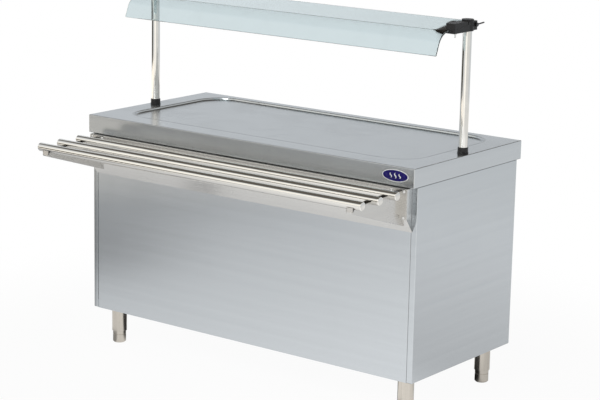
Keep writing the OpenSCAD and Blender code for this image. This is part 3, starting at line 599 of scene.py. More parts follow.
def moulded_group():
    """The fine spark-eroded texture of mouldings: two sizes of noise."""
    tree, given, out = group(
        "moulded_texture",
        [("Position", "Vector", None), ("Size", "Float", 1800.0)],
        [("Height", "Float"), ("Patch", "Float")])
    fine = noise(tree, given["Position"], given["Size"], 2.0, 0.6)
    coarse = noise(tree, given["Position"], 120.0, 3.0, 0.5)
    tree.links.new(summed(tree, coarse, fine, 0.35, 0.65), out["Height"])
    tree.links.new(coarse, out["Patch"])
    return tree


GRAIN, WIPES, WEAR, DUST, MOULDED = (
    grain_group(), wipe_group(), wear_group(), dust_group(), moulded_group())


def blank(name):
    """A material with its Principled shader and the object's own coordinates."""
    material = bpy.data.materials.new(name)
    material.use_nodes = True
    tree = material.node_tree
    tree.nodes.clear()
    shader = tree.nodes.new("ShaderNodeBsdfPrincipled")
    output = tree.nodes.new("ShaderNodeOutputMaterial")
    tree.links.new(shader.outputs[0], output.inputs[0])
    place = add(tree, "ShaderNodeTexCoord").outputs["Object"]
    return material, tree, shader, place


def set_bump(tree, shader, height, distance, strength=1.0):
    """A Bump node from a height in units of the distance."""
    bump = add(tree, "ShaderNodeBump", {"Strength": strength, "Distance": distance, "Height": height})
    tree.links.new(bump.outputs[0], shader.inputs["Normal"])


# The tone and strength of the painted shade on steel.
PAINTED_SHADE_TONE, PAINTED_SHADE_STRENGTH = (0.13, 0.13, 0.125, 1), 0.6
STEEL_DUST, PLASTIC_DUST = (0.55, 0.53, 0.5, 1), (0.45, 0.44, 0.42, 1)


def steel(name, colour, rough, stretch, contrast, directional=0.0, wipes=0.05, bump=0.02 * MM,
          dust=0.0, edge=0.0):
    """Stainless steel: grain lightens and darkens it a little and changes its roughness, and
    wiping marks dull it. Painted shade from its piece darkens it; small parts are brighter at the edges.
    Satin sheet, whose directional value isn't 0, spreads light across its grain."""
    material, tree, shader, place = blank(name)
    along = place
    if directional:
        along = add(tree, "ShaderNodeUVMap", uv_map="grain").outputs[0]
    grain = use(tree, GRAIN, {"Position": along, "Stretch": stretch})
    marks = use(tree, WIPES, {"Position": place, "Size": 5.0, "Amount": 1.0})["Mask"]
    mixed = summed(tree, grain["Band"], grain["Streak"], 0.5, 0.5)
    base = blended(tree, ranged(tree, mixed, 0.3, 0.7, smooth=False),
                   shaded(colour, 1 - contrast), shaded(colour, 1 + contrast))
    if edge:
        worn = use(tree, WEAR, {"Position": place, "Radius": 0.8 * MM, "Amount": edge})["Mask"]
        base = blended(tree, worn, base, shaded(colour, 1.3))
    if dust:
        laid = use(tree, DUST, {"Position": place, "Amount": dust})["Mask"]
        base = blended(tree, laid, base, STEEL_DUST)
    # Painted shade: the piece's own values darken the steel towards a dark tone.
    painted_shade = add(tree, "ShaderNodeAttribute", attribute_name="painted_shade").outputs["Fac"]
    base = blended(tree, product(tree, painted_shade, PAINTED_SHADE_STRENGTH), base, PAINTED_SHADE_TONE)
    tree.links.new(base, shader.inputs["Base Color"])
    dull = maths(tree, "MULTIPLY_ADD", grain["Streak"], 0.08, rough - 0.04)
    tree.links.new(maths(tree, "MULTIPLY_ADD", marks, wipes, dull), shader.inputs["Roughness"])
    shader.inputs["Metallic"].default_value = 1.0
    if directional:
        shader.inputs["Anisotropic"].default_value = directional
        shader.inputs["Anisotropic Rotation"].default_value = 0.25
        lay = add(tree, "ShaderNodeTangent", direction_type="UV_MAP", uv_map="grain")
        tree.links.new(lay.outputs[0], shader.inputs["Tangent"])
    set_bump(tree, shader, grain["Height"], bump)
    return material


def moulding(name, colour, rough, size=1800.0, depth=0.04 * MM, wear=0.5, worn=(0.16, 0.16, 0.17),
             coat=0.0, dust=0.05, spec=0.5):
    """Moulded plastic or coated casting: fine texture, patches of gloss, paler worn edges."""
    material, tree, shader, place = blank(name)
    texture = use(tree, MOULDED, {"Position": place, "Size": size})
    edge = use(tree, WEAR, {"Position": place, "Radius": 0.9 * MM, "Amount": wear})["Mask"]
    laid = use(tree, DUST, {"Position": place, "Amount": dust})["Mask"]
    shade = blended(tree, ranged(tree, texture["Patch"], 0.3, 0.7),
                    shaded(colour, 0.85), shaded(colour, 1.15))
    shade = blended(tree, edge, shade, (*worn, 1))
    shade = blended(tree, laid, shade, PLASTIC_DUST)
    tree.links.new(shade, shader.inputs["Base Color"])
    gloss = ranged(tree, texture["Patch"], 0.3, 0.7, rough - 0.06, rough + 0.06)
    tree.links.new(gloss, shader.inputs["Roughness"])
    shader.inputs["Specular IOR Level"].default_value = spec
    shader.inputs["Coat Weight"].default_value = coat
    shader.inputs["Coat Roughness"].default_value = 0.08
    set_bump(tree, shader, texture["Height"], depth)
    return material


def clear_glass(name, tint, rough):
    """Bent safety glass: tinted, with faint wiping marks in its gloss."""
    material, tree, shader, place = blank(name)
    marks = use(tree, WIPES, {"Position": place, "Size": 9.0, "Amount": 1.0})["Mask"]
    faint = blended(tree, marks, (*tint, 1), shaded(tint, 0.97))
    tree.links.new(faint, shader.inputs["Base Color"])
    tree.links.new(ranged(tree, marks, 0, 1, rough, rough + 0.03), shader.inputs["Roughness"])
    shader.inputs["Transmission Weight"].default_value = 1.0
    shader.inputs["IOR"].default_value = 1.5
    return material


def tinted_lens(name, colour, rough, transmission):
    """Coloured translucent plastic, with soft clouds in its colour, gloss and surface."""
    material, tree, shader, place = blank(name)
    cloud = noise(tree, place, 300.0, 3.0)
    tone = blended(tree, ranged(tree, cloud, 0.3, 0.7), shaded(colour, 0.85), shaded(colour, 1.1))
    tree.links.new(tone, shader.inputs["Base Color"])
    tree.links.new(ranged(tree, cloud, 0.3, 0.7, rough - 0.04, rough + 0.04), shader.inputs["Roughness"])
    shader.inputs["Transmission Weight"].default_value = transmission
    shader.inputs["Coat Weight"].default_value = 0.4
    set_bump(tree, shader, cloud, 0.03 * MM)
    return material


FIBRE_DARK, FIBRE_PALE = (0.42, 0.36, 0.18, 1), (0.78, 0.72, 0.5, 1)


def mineral_wool(name):
    """Pressed fibre board: long crossed fibres over soft lumps."""
    material, tree, shader, place = blank(name)
    along = noise(tree, scaled(tree, place, (90, 900, 900)), 1.0, 4.0, 0.7)
    across = noise(tree, scaled(tree, place, (900, 110, 900)), 1.0, 4.0, 0.7)
    fibres = maths(tree, "MAXIMUM", along, across)
    tone = blended(tree, ranged(tree, fibres, 0.4, 0.75), FIBRE_DARK, FIBRE_PALE)
    tree.links.new(tone, shader.inputs["Base Color"])
    shader.inputs["Roughness"].default_value = 0.95
    shader.inputs["Sheen Weight"].default_value = 0.3
    set_bump(tree, shader, fibres, 0.6 * MM)
    return material


COOL_STEEL = (0.60, 0.625, 0.645)
PANEL_STEEL = (0.585, 0.615, 0.64)
WARM_STEEL = (0.64, 0.63, 0.61)
POLISHED = (0.80, 0.785, 0.75)
LEG_TONE = (0.60, 0.56, 0.50)
ALONG_SHEET, ALONG_TUBE, ALONG_LEG = (4, 700, 1), (3, 700, 700), (900, 900, 6)
SATIN = {"stretch": ALONG_SHEET, "directional": 0.4, "wipes": 0.025, "bump": 0.006 * MM}

MATERIALS = {
    "top_steel": steel("top_steel", COOL_STEEL, 0.23, contrast=0.035, **SATIN),
    "panel_steel": steel("panel_steel", PANEL_STEEL, 0.21, contrast=0.03, **SATIN),
    "fold_steel": steel("fold_steel", WARM_STEEL, 0.25, ALONG_SHEET, 0.04, directional=0.35,
                        wipes=0.03, bump=0.008 * MM),
    "tube_steel": steel("tube_steel", POLISHED, 0.10, ALONG_TUBE, 0.05, wipes=0.03, bump=0.006 * MM),
    "cap_steel": steel("cap_steel", POLISHED, 0.16, (400, 400, 400), 0.06),
    "leg_steel": steel("leg_steel", LEG_TONE, 0.16, ALONG_LEG, 0.12, bump=0.01 * MM),
    "bolt_steel": steel("bolt_steel", (0.70, 0.70, 0.69), 0.2, (500, 500, 500), 0.08, edge=0.6),
    "dark_lever": steel("dark_lever", (0.09, 0.09, 0.095), 0.3, (300, 300, 300), 0.2, edge=0.8),
    "element_steel": steel("element_steel", (0.26, 0.25, 0.24), 0.45, (60, 60, 60), 0.3, dust=0.3),
    "copper": steel("copper", (0.70, 0.40, 0.27), 0.28, (200, 200, 200), 0.18),
    "black_plastic": moulding("black_plastic", (0.010, 0.010, 0.011), 0.30, worn=(0.10, 0.10, 0.11),
                              dust=0.02, spec=0.4),
    "black_casting": moulding("black_casting", (0.012, 0.012, 0.013), 0.42, 900.0, 0.08 * MM, 0.6,
                              (0.09, 0.09, 0.095), spec=0.3),
    "pad_rubber": moulding("pad_rubber", (0.03, 0.03, 0.03), 0.7, 1500.0, 0.03 * MM, 0.2),
    "track_nylon": moulding("track_nylon", (0.24, 0.25, 0.26), 0.5, worn=(0.5, 0.5, 0.5)),
    "ivory_plastic": moulding("ivory_plastic", (0.72, 0.69, 0.60), 0.4, worn=(0.85, 0.83, 0.78)),
    "badge_blue": moulding("badge_blue", (0.010, 0.006, 0.12), 0.25, 2500.0, 0.004 * MM, 0.1,
                           (0.05, 0.05, 0.3), coat=0.2, dust=0.0, spec=0.25),
    "guard_glass": clear_glass("guard_glass", (0.62, 0.715, 0.74), 0.0),
    "red_plastic": tinted_lens("red_plastic", (0.55, 0.02, 0.015), 0.22, 0.25),
    "amber_lens": tinted_lens("amber_lens", (0.85, 0.36, 0.04), 0.16, 0.6),
    "insulation": mineral_wool("insulation"),
}
GLASS_EDGE = clear_glass("glass_edge", (0.55, 0.66, 0.65), 0.55)
PRINT_WHITE = moulding("print_white", (0.78, 0.79, 0.80), 0.4, worn=(0.8, 0.8, 0.8))


# ---------------------------------------------------------------- worktop and cabinet

RECESS_SIDE, RECESS_FRONT, RECESS_BACK = 84 * MM, 90 * MM, 38 * MM
RECESS_DEEP, RECESS_R = 7 * MM, 100 * MM
RECESS_SLOPE = 2.5 * MM
LIP_LINE = 7 * MM
APRON_RETURN = 18 * MM
POST_HOLE_R = 15.3 * MM
DECK_CROWN, DECK_WAVE = 0.5 * MM, 0.25 * MM
FRONT_BOW, SIDE_BOW, DOOR_BOW = 0.8 * MM, 0.9 * MM, 0.7 * MM

TOP_LOW, TOP_HIGH = corners("worktop")
POST_X, POST_Y = centre_of("post_right")[:2]
POST_R = corners("post_right")[1][0] - POST_X


def worktop():
    """One sheet: deck, sloped lip, margin, rolled edge, apron and return. Its section is a path
    of half width against height. The rectangle at each point is shorter than wide by the recess's
    own difference inside and the worktop's outside, blended across the margin. The deck rises by
    its crown and a slow wave, times (1 - x squared) * (1 - y squared) over the recess."""
    end, top, foot = TOP_HIGH[0], TOP_HIGH[2], TOP_LOW[2]
    deck = top - RECESS_DEEP
    recess_half = np.array([end - RECESS_SIDE, (TOP_HIGH[1] - TOP_LOW[1] - RECESS_FRONT - RECESS_BACK) / 2])
    recess_y = (TOP_LOW[1] + RECESS_FRONT + TOP_HIGH[1] - RECESS_BACK) / 2
    top_y, top_half_y = (TOP_LOW[1] + TOP_HIGH[1]) / 2, (TOP_HIGH[1] - TOP_LOW[1]) / 2
    middle = recess_half[0] - recess_half[1] + 4 * MM
    path = bent([(middle, deck), (recess_half[0] - RECESS_SLOPE, deck), (recess_half[0], top),
                 (recess_half[0] + LIP_LINE, top), (recess_half[0] + LIP_LINE + 1.5 * MM, top),
                 (end, top), (end, foot), (end - APRON_RETURN, foot)],
                [0, 3 * MM, 2.5 * MM, 0, 0, BEND, 2 * MM, 0])
    path = divided(path, 0.024)
    section = np.concatenate([path, parallel(path, -SHEET)[::-1]])
    wide = section[:, 0]
    share = np.clip((wide - recess_half[0] - 2 * MM) / (end - 4 * MM - recess_half[0]), 0, 1)
    shorter = (recess_half[0] - recess_half[1]) * (1 - share) + (end - top_half_y) * share
    radius = np.where(share > 0, RECESS_R * (1 - share), RECESS_R - recess_half[0] + wide)
    radius = np.maximum(radius, np.where(share > 0.99, 3 * MM - end + wide, 4 * MM))
    rows = np.stack([0 * wide, recess_y + (top_y - recess_y) * share, wide, wide - shorter,
                     np.maximum(radius, 0.8 * MM), section[:, 1]], 1)
    rings = rounded_rings(rows, "z", ring_pattern(12, 40, 20))
    x, y = rings[..., 0] / recess_half[0], (rings[..., 1] - recess_y) / recess_half[1]
    crown = np.clip(1 - x ** 2, 0, 1) * np.clip(1 - y ** 2, 0, 1)
    rings[..., 2] += crown * (DECK_CROWN + DECK_WAVE * np.sin(4.1 * x + 1.0) * np.cos(2.3 * y))
    holes = [turned([(0, -0.02), (POST_HOLE_R, -0.02), (POST_HOLE_R, 0.02), (0, 0.02)],
                    (side * POST_X, POST_Y, top)) for side in (-1, 1)]

    def painted_shade_lines(points):
        """Painted shade: strong on the strip of margin beside the recess and faint on its lip, by the
        distance from the recess's rounded outline, and a painted shadow line at the apron's foot,
        stronger on its ends than on its front and back."""
        beyond = np.abs(points[:, :2] - [0, recess_y]) - (recess_half - RECESS_R)
        outside = np.linalg.norm(np.maximum(beyond, 0), axis=1) + np.minimum(beyond.max(1), 0) - RECESS_R
        low, rise = points[:, 2] - foot, points[:, 2] - deck
        lip = (outside > -6 * MM) & (outside < LIP_LINE + 0.5 * MM) & (rise > 1 * MM)
        bend = low < 1.7 * MM
        ends = bend & (np.abs(points[:, 0]) > end - 2.5 * MM)
        front = bend & (np.abs(points[:, 1] - top_y) > top_half_y - 2.5 * MM)
        return np.where(rise > RECESS_DEEP - 0.1 * MM, 0.8, 0.15) * lip + np.where(front, 0.5, ends)

    piece("worktop", [lofted(rings)], holes=holes, shade=painted_shade_lines)


def panel_bow(rings):
    """The front panel is held at its edges and lies a little uneven between them: a slow slanted
    wave and a ridge near its left end, times the square roots of the sines of both shares."""
    low, high = corners("front_panel")
    u = np.clip((rings[..., 0] - low[0]) / (high[0] - low[0]), 0, 1)
    v = np.clip((rings[..., 2] - low[2]) / (high[2] - low[2]), 0, 1)
    window = np.sin(math.pi * u) ** 0.5 * np.sin(math.pi * v) ** 0.5
    wave = 0.5 * np.sin(2 * math.pi * (1.15 * u + 0.35 * v)) + 0.6 * np.exp(-((u - 0.12 * v) / 0.09) ** 2)
    rings[..., 1] += FRONT_BOW * window * wave
    return rings


def front_panel():
    """A flat sheet with its two ends folded back, with painted shade along both bends."""
    low, high = corners("front_panel")
    path = bent([(low[0], high[1]), (low[0], low[1]), (high[0], low[1]), (high[0], high[1])], BEND)
    stations = np.linspace(low[2], high[2], 29)
    piece("front_panel", [folded(divided(path, 0.02), SHEET, "z", stations, panel_bow)],
          shade=lambda points: np.abs(points[:, 0]) > high[0] - 2.3 * MM)


def side_panel(node, side):
    """A shallow pan whose walls are the strips on the front and back, with the hidden fold
    behind the front strip and the angle that carries the middle shelf. The left one's front
    strip carries painted shade."""
    low, high = corners("side_panel_right")
    front = corners("front_panel")
    middle, half = (low[1:] + high[1:]) / 2, (high[1:] - low[1:]) / 2
    strip = front[1][0] + 0.3 * MM
    fold = front[1][1] - front[0][1]
    shelf_low, shelf_high = corners("mid_shelf")
    base_top = corners("base_shelf")[1][2]

    def bow(rings):
        """Inwards, by the root of the shares left to both edges, in slow waves up the side."""
        away = 1 - np.abs(rings[..., 1:] - middle) / half
        window = np.clip(away, 0, 1).prod(-1) ** 0.5
        rings[..., 0] -= SIDE_BOW * window * (0.6 + 0.4 * np.sin(9 * rings[..., 2]))
        return rings

    face = pan(middle, half, high[0], -1, high[0] - strip, "x", step=0.03, shape=bow)
    angle_path = bent([(high[0] - SHEET, shelf_low[2] - 20 * MM), (high[0] - SHEET, shelf_low[2]),
                       (low[0], shelf_low[2])], 2 * MM)
    angle = folded(angle_path, -SHEET, "y", [low[1] + 28 * MM, shelf_high[1]])
    hidden = slab((strip, low[1] + SHEET, base_top), (strip + SHEET, low[1] + fold, high[2] - 2 * MM),
                  0.3 * MM)
    parts = [face, angle, hidden]

    def painted_shade_strip(points):
        """Painted shade on the outer part of the strip that the left panel turns onto the front."""
        return 0.8 * ((-points[:, 0] > high[0] - 8 * MM) & (points[:, 1] < low[1] + 2 * MM))

    if side > 0:
        piece(node, parts)
    else:
        piece(node, [mirrored(p) for p in parts], shade=painted_shade_strip)


def door(node, grip_node):
    """A pan with runner fins, and a hole for its handle cup."""
    low, high = corners(node)
    grip_low, grip_high = corners(grip_node)
    bottom = corners("door_track_bottom")[1][2] + 1 * MM
    top = corners("door_track_top")[0][2] - 1 * MM
    middle = np.array([(low[0] + high[0]) / 2, (bottom + top) / 2])
    half = np.array([(high[0] - low[0]) / 2, (top - bottom) / 2])

    def bow(rings):
        """Inwards, by the root of the shares left to both edges."""
        away = 1 - np.abs(rings[..., [0, 2]] - middle) / half
        window = np.clip(away, 0, 1).prod(-1) ** 0.5
        rings[..., 1] -= DOOR_BOW * window
        return rings

    face = pan(middle, half, high[1], -1, high[1] - low[1], "y", bend=2 * MM, step=0.04, shape=bow)
    lane = (low[1] + high[1]) / 2
    fins = [slab((low[0] + 5 * MM, lane - 1.5 * MM, z0), (high[0] - 5 * MM, lane + 1.5 * MM, z1), 0.5 * MM)
            for z0, z1 in ((low[2], bottom + 2 * MM), (top - 2 * MM, high[2]))]
    border = 4 * MM
    hole = slab((grip_low[0] + border, high[1] - 8 * MM, grip_low[2] + border),
                (grip_high[0] - border, high[1] + 8 * MM, grip_high[2] - border), 0.5 * MM, 5 * MM, "y")
    piece(node, [face] + fins, holes=[hole])


def door_handle(node):
    """A cup: flange, rounded mouth, walls and floor, each a rounded rectangle further in."""
    low, high = corners(node)
    middle, half = (low + high) / 2, (high - low) / 2
    face = high[1] - 1.5 * MM
    section = bent([(0, face), (0, high[1]), (6 * MM, high[1]), (7.5 * MM, low[1] + 1.5 * MM),
                    (half[0] * 0.8, low[1] + 1.5 * MM)], [0, 1 * MM, 1.6 * MM, 3 * MM, 0], 5)
    back = bent([(half[0] * 0.8, low[1]), (4.6 * MM, low[1]), (4.3 * MM, face), (0, face)],
                [0, 2 * MM, 0.3 * MM, 0], 4)
    rows = [(middle[0], middle[2], half[0] - i, half[2] - i, max(9 * MM - i, 2 * MM), y)
            for i, y in np.concatenate([section, back])]
    piece(node, [lofted(rounded_rings(rows, "y", ring_pattern(6, 1, 1)))])


# ---------------------------------------------------------------- legs

LEG_R, LEG_WALL = 27 * MM, 1.5 * MM
BUSH_BORE, BUSH_LOW, BUSH_HIGH = 8.3 * MM, 56.3 * MM, 70.3 * MM
FOOT_RISE, FOOT_GROOVE = 56 * MM, 30 * MM
THREAD_PITCH, THREAD_DEEP, THREAD_R = 2.0 * MM, 0.9 * MM, 8 * MM


def leg(node):
    """A tube with a rounded rim, welded to a plate, with the bush that takes the foot's screw.
    The weld is half an oval turned about the leg, and its radius ripples forty times round."""
    low, high = corners(node)
    x, y = (low[0] + high[0]) / 2, (low[1] + high[1]) / 2
    rim, plate_low = low[2], high[2] - 3 * MM
    shell = tube((x, y, 0), "z", LEG_R, LEG_R - LEG_WALL, rim, plate_low, 96, 0.6 * MM)
    angle = np.radians(np.linspace(-90, 90, 7))
    weld = np.stack([LEG_R + 1.6 * MM * np.cos(angle), plate_low - 1 * MM + 1.2 * MM * np.sin(angle)], 1)
    root = LEG_R - 0.5 * MM
    foot_of_weld = [(root, plate_low - 2.2 * MM)]
    outline = np.vstack([foot_of_weld, weld, [(root, plate_low + 0.2 * MM)], foot_of_weld])
    bead = turned(outline, (x, y, 0), "z", 96, lambda angle, height: 1 + 0.012 * np.sin(40 * angle))
    top_plate = slab((low[0], low[1], plate_low), (high[0], high[1], high[2]), 0.6 * MM, 8 * MM)
    bush = tube((x, y, 0), "z", LEG_R - LEG_WALL, BUSH_BORE, BUSH_LOW, BUSH_HIGH, 48, 0.5 * MM)
    piece(node, [shell, bead, top_plate, bush])


def foot(node):
    """A turned foot with a chamfered sole and a groove, on a screw whose thread is a ridge
    that climbs one pitch a turn: the radius falls off with the distance from the ridge."""
    low, high = corners(node)
    centre = ((low[0] + high[0]) / 2, (low[1] + high[1]) / 2, 0)
    r, waist = (high[0] - low[0]) / 2, (high[0] - low[0]) / 2 - 0.8 * MM
    groove = [(r, FOOT_GROOVE), (waist, FOOT_GROOVE + 0.6 * MM), (waist, FOOT_GROOVE + 2.2 * MM),
              (r, FOOT_GROOVE + 2.8 * MM)]
    outline = bent([(0, 0), (r - 4 * MM, 0), (r, 4 * MM), *groove,
                    (r, FOOT_RISE), (9 * MM, FOOT_RISE), (0, FOOT_RISE)],
                   [0, 1 * MM, 1.5 * MM, 0.2 * MM, 0.2 * MM, 0.2 * MM, 0.2 * MM, 1.2 * MM, 0, 0], 4)
    heights = np.arange(FOOT_RISE - 1 * MM, high[2] - 1 * MM, THREAD_PITCH / 6)
    profile = np.concatenate([[(0, heights[0])], np.stack([THREAD_R + 0 * heights, heights], 1),
                              [(0, high[2])]])

    def thread(angle, height):
        """The ridge: 1 at its crest, less by the distance from it in turns."""
        turns = height / THREAD_PITCH - angle / (2 * math.pi)
        return 1 - THREAD_DEEP / THREAD_R * np.abs(2 * (turns % 1) - 1)

    piece(node, [turned(outline, centre, "z", 96), turned(profile, centre, "z", 32, thread)], sharp=50)


# ---------------------------------------------------------------- console and tray slide

CONSOLE_LOW, CONSOLE_HIGH = corners("console")
CONSOLE_KNEE = CONSOLE_HIGH[2] - 100 * MM
CONSOLE_SHEET = 1.5 * MM
ARM_T = 2 * MM
ARM_FOOT_Y = CONSOLE_LOW[1] + (CONSOLE_HIGH[1] - CONSOLE_LOW[1]) * 0.55
ARM_FOOT_Z = CONSOLE_KNEE - (CONSOLE_KNEE - CONSOLE_LOW[2]) * 0.55
TRAY_TUBES = ("tray_tube_front", "tray_tube_middle", "tray_tube_rear")


def console():
    """The fascia: top fold, upright face and sloping foot."""
    path = bent([(CONSOLE_HIGH[1], CONSOLE_HIGH[2]), (CONSOLE_LOW[1], CONSOLE_HIGH[2]),
                 (CONSOLE_LOW[1], CONSOLE_KNEE), (CONSOLE_HIGH[1], CONSOLE_LOW[2])], 3 * MM)
    stations = np.linspace(CONSOLE_LOW[0], CONSOLE_HIGH[0], 41)
    piece("console", [folded(path, CONSOLE_SHEET, "x", stations)], bevel=0.3 * MM)


def arm_cheek(tip_y, tip_z, tip_h, tubes, clear):
    """A bracket cheek's outline: tip, underside, back and a top edge with a round saddle under
    each tube, where the tube's circle cuts the edge's line."""
    back_top = CONSOLE_HIGH[2] - 9 * MM
    slope = (back_top - tip_z) / (CONSOLE_LOW[1] - tip_y)
    below = bent([(CONSOLE_LOW[1], back_top), (tip_y, tip_z), (tip_y, tip_z - tip_h),
                  (ARM_FOOT_Y, ARM_FOOT_Z), (CONSOLE_LOW[1], CONSOLE_KNEE)],
                 [0, 2 * MM, 5 * MM, 0, 0])[1:]
    saddles = []
    for y, z in tubes:
        rise = tip_z + slope * (y - tip_y) - z
        a, b, c = 1 + slope ** 2, 2 * slope * rise, rise ** 2 - clear ** 2
        root = math.sqrt(b ** 2 - 4 * a * c)
        ends = [(-b - root) / (2 * a), (-b + root) / (2 * a)]
        start, end = (math.atan2(rise + slope * e, e) % (2 * math.pi) for e in ends)
        end += 2 * math.pi if end < start else 0
        angle = np.linspace(start, end, 15)
        saddles.append(np.stack([y + clear * np.cos(angle), z + clear * np.sin(angle)], 1))
    top_edge = np.concatenate(saddles + [[(CONSOLE_LOW[1], back_top)]])
    return np.concatenate([top_edge[::-1], below])


def tray_bracket(node):
    """A channel-shaped arm: two cheeks with saddles, the web under them, a mounting plate."""
    low, high = corners(node)
    tubes = []
    for name in TRAY_TUBES:
        tubes.append(tuple(centre_of(name)[1:]))
    tube_low, tube_high = corners(TRAY_TUBES[0])
    tube_r = (tube_high[1] - tube_low[1]) / 2
    middle = (low[0] + high[0]) / 2
    half = 13 * MM
    tip_z, tip_h = tubes[0][1] - tube_r / 2, 19 * MM
    outline = arm_cheek(low[1], tip_z, tip_h, tubes, tube_r + 0.1 * MM)
    cheeks = [plate(outline, "x", x, x + ARM_T, 0.5 * MM) for x in (middle - half, middle + half - ARM_T)]
    web_path = bent([(low[1], tip_z), (low[1], tip_z - tip_h), (ARM_FOOT_Y, ARM_FOOT_Z)], 5 * MM)
    web = folded(web_path, ARM_T, "x", [middle - half + 0.3 * MM, middle + half - 0.3 * MM])
    back = slab((low[0], CONSOLE_LOW[1] - 2.5 * MM, CONSOLE_KNEE + 1 * MM),
                (high[0], CONSOLE_LOW[1], CONSOLE_HIGH[2] - 1 * MM), 0.5 * MM, 6 * MM, "y")
    piece(node, cheeks + [web, back])


def tray_tube(node):
    """One straight hollow tube, with painted shade that grows towards its underside."""
    low, high = corners(node)
    centre, r = (low + high) / 2, (high[1] - low[1]) / 2
    wall = tube((0, centre[1], centre[2]), "x", r, r - 1.5 * MM, low[0], high[0], 96)
    piece(node, [wall], weighted=False, shade=lambda points: 0.8 * (centre[2] - points[:, 2]) / r)


def tray_tube_caps():
    """Domed plugs: a stem inside the tube, a short rim and a shallow dome, whose radius goes
    with the cosine to the power 0.55 as its height goes with the sine."""
    surfaces = []
    for name in TRAY_TUBES:
        low, high = corners(name)
        centre, r = (low + high) / 2, (high[1] - low[1]) / 2
        dome = np.radians(np.linspace(0, 90, 9))
        profile = [(0, -15 * MM), (r - 2 * MM, -15 * MM), (r - 1.6 * MM, -14 * MM), (r - 1.6 * MM, 0), (r, 0)]
        profile += [(r * math.cos(a) ** 0.55, 0.8 * MM + 3.2 * MM * math.sin(a)) for a in dome]
        cap = turned(np.array(profile), (high[0], centre[1], centre[2]), "x", 64)
        surfaces += [cap, mirrored(cap)]
    piece("tray_tube_caps", surfaces)


def bracket_bolts():
    """Eight button heads on plain shanks, two above two on each mounting plate."""
    low, high = corners("bracket_bolts")
    surfaces = []
    head_r, head_rise, spread = 5.5 * MM, 3 * MM, 24 * MM
    for bracket in ("tray_bracket_left", "tray_bracket_right"):
        middle = centre_of(bracket)[0]
        for x in (middle - spread, middle + spread):
            for z in (low[2] + head_r, high[2] - head_r):
                surfaces += button_screw(x, z, low[1] + head_rise, high[1], (head_r, head_rise),
                                         2 * MM, 3 * MM, 24)
    piece("bracket_bolts", surfaces)


# ---------------------------------------------------------------- glass guard

def guard_post(node):
    """A polished post, hollow, from under the worktop to the clamp's socket."""
    low, high = corners(node)
    centre = (low + high) / 2
    piece(node, [tube((centre[0], centre[1], 0), "z", POST_R, POST_R - 1.5 * MM, low[2], high[2], 96)],
          weighted=False)


def post_collars():
    """Black collars with a foot flange, a waist and a rounded top."""
    low, high = corners("post_collars")
    r, height, bore = high[0] - POST_X, high[2] - low[2], POST_R + 0.1 * MM
    outline = bent([(bore, 0), (r, 0), (r, 4 * MM), (r - 1 * MM, 5 * MM), (r - 1 * MM, height),
                    (bore, height)], [0, 0.6 * MM, 0.8 * MM, 0.4 * MM, 1.6 * MM, 0.3 * MM], 4)
    outline = np.vstack([outline, outline[:1]])
    collar = turned(outline, (POST_X, POST_Y, low[2]), "z", 64)
    piece("post_collars", [collar, mirrored(collar)])


GLASS_T = 6 * MM
GLASS_TILT, GLASS_FRONT_TILT = 8.0, 69.0
GLASS_FLAT, GLASS_DROP, GLASS_BEND = 142 * MM, 38 * MM, 57 * MM
GLASS_SEAT, GLASS_POLISH = 19 * MM, 2.4 * MM
NECK_FRONT, NECK_IN, NECK_EASE = 23 * MM, 22 * MM, 5 * MM


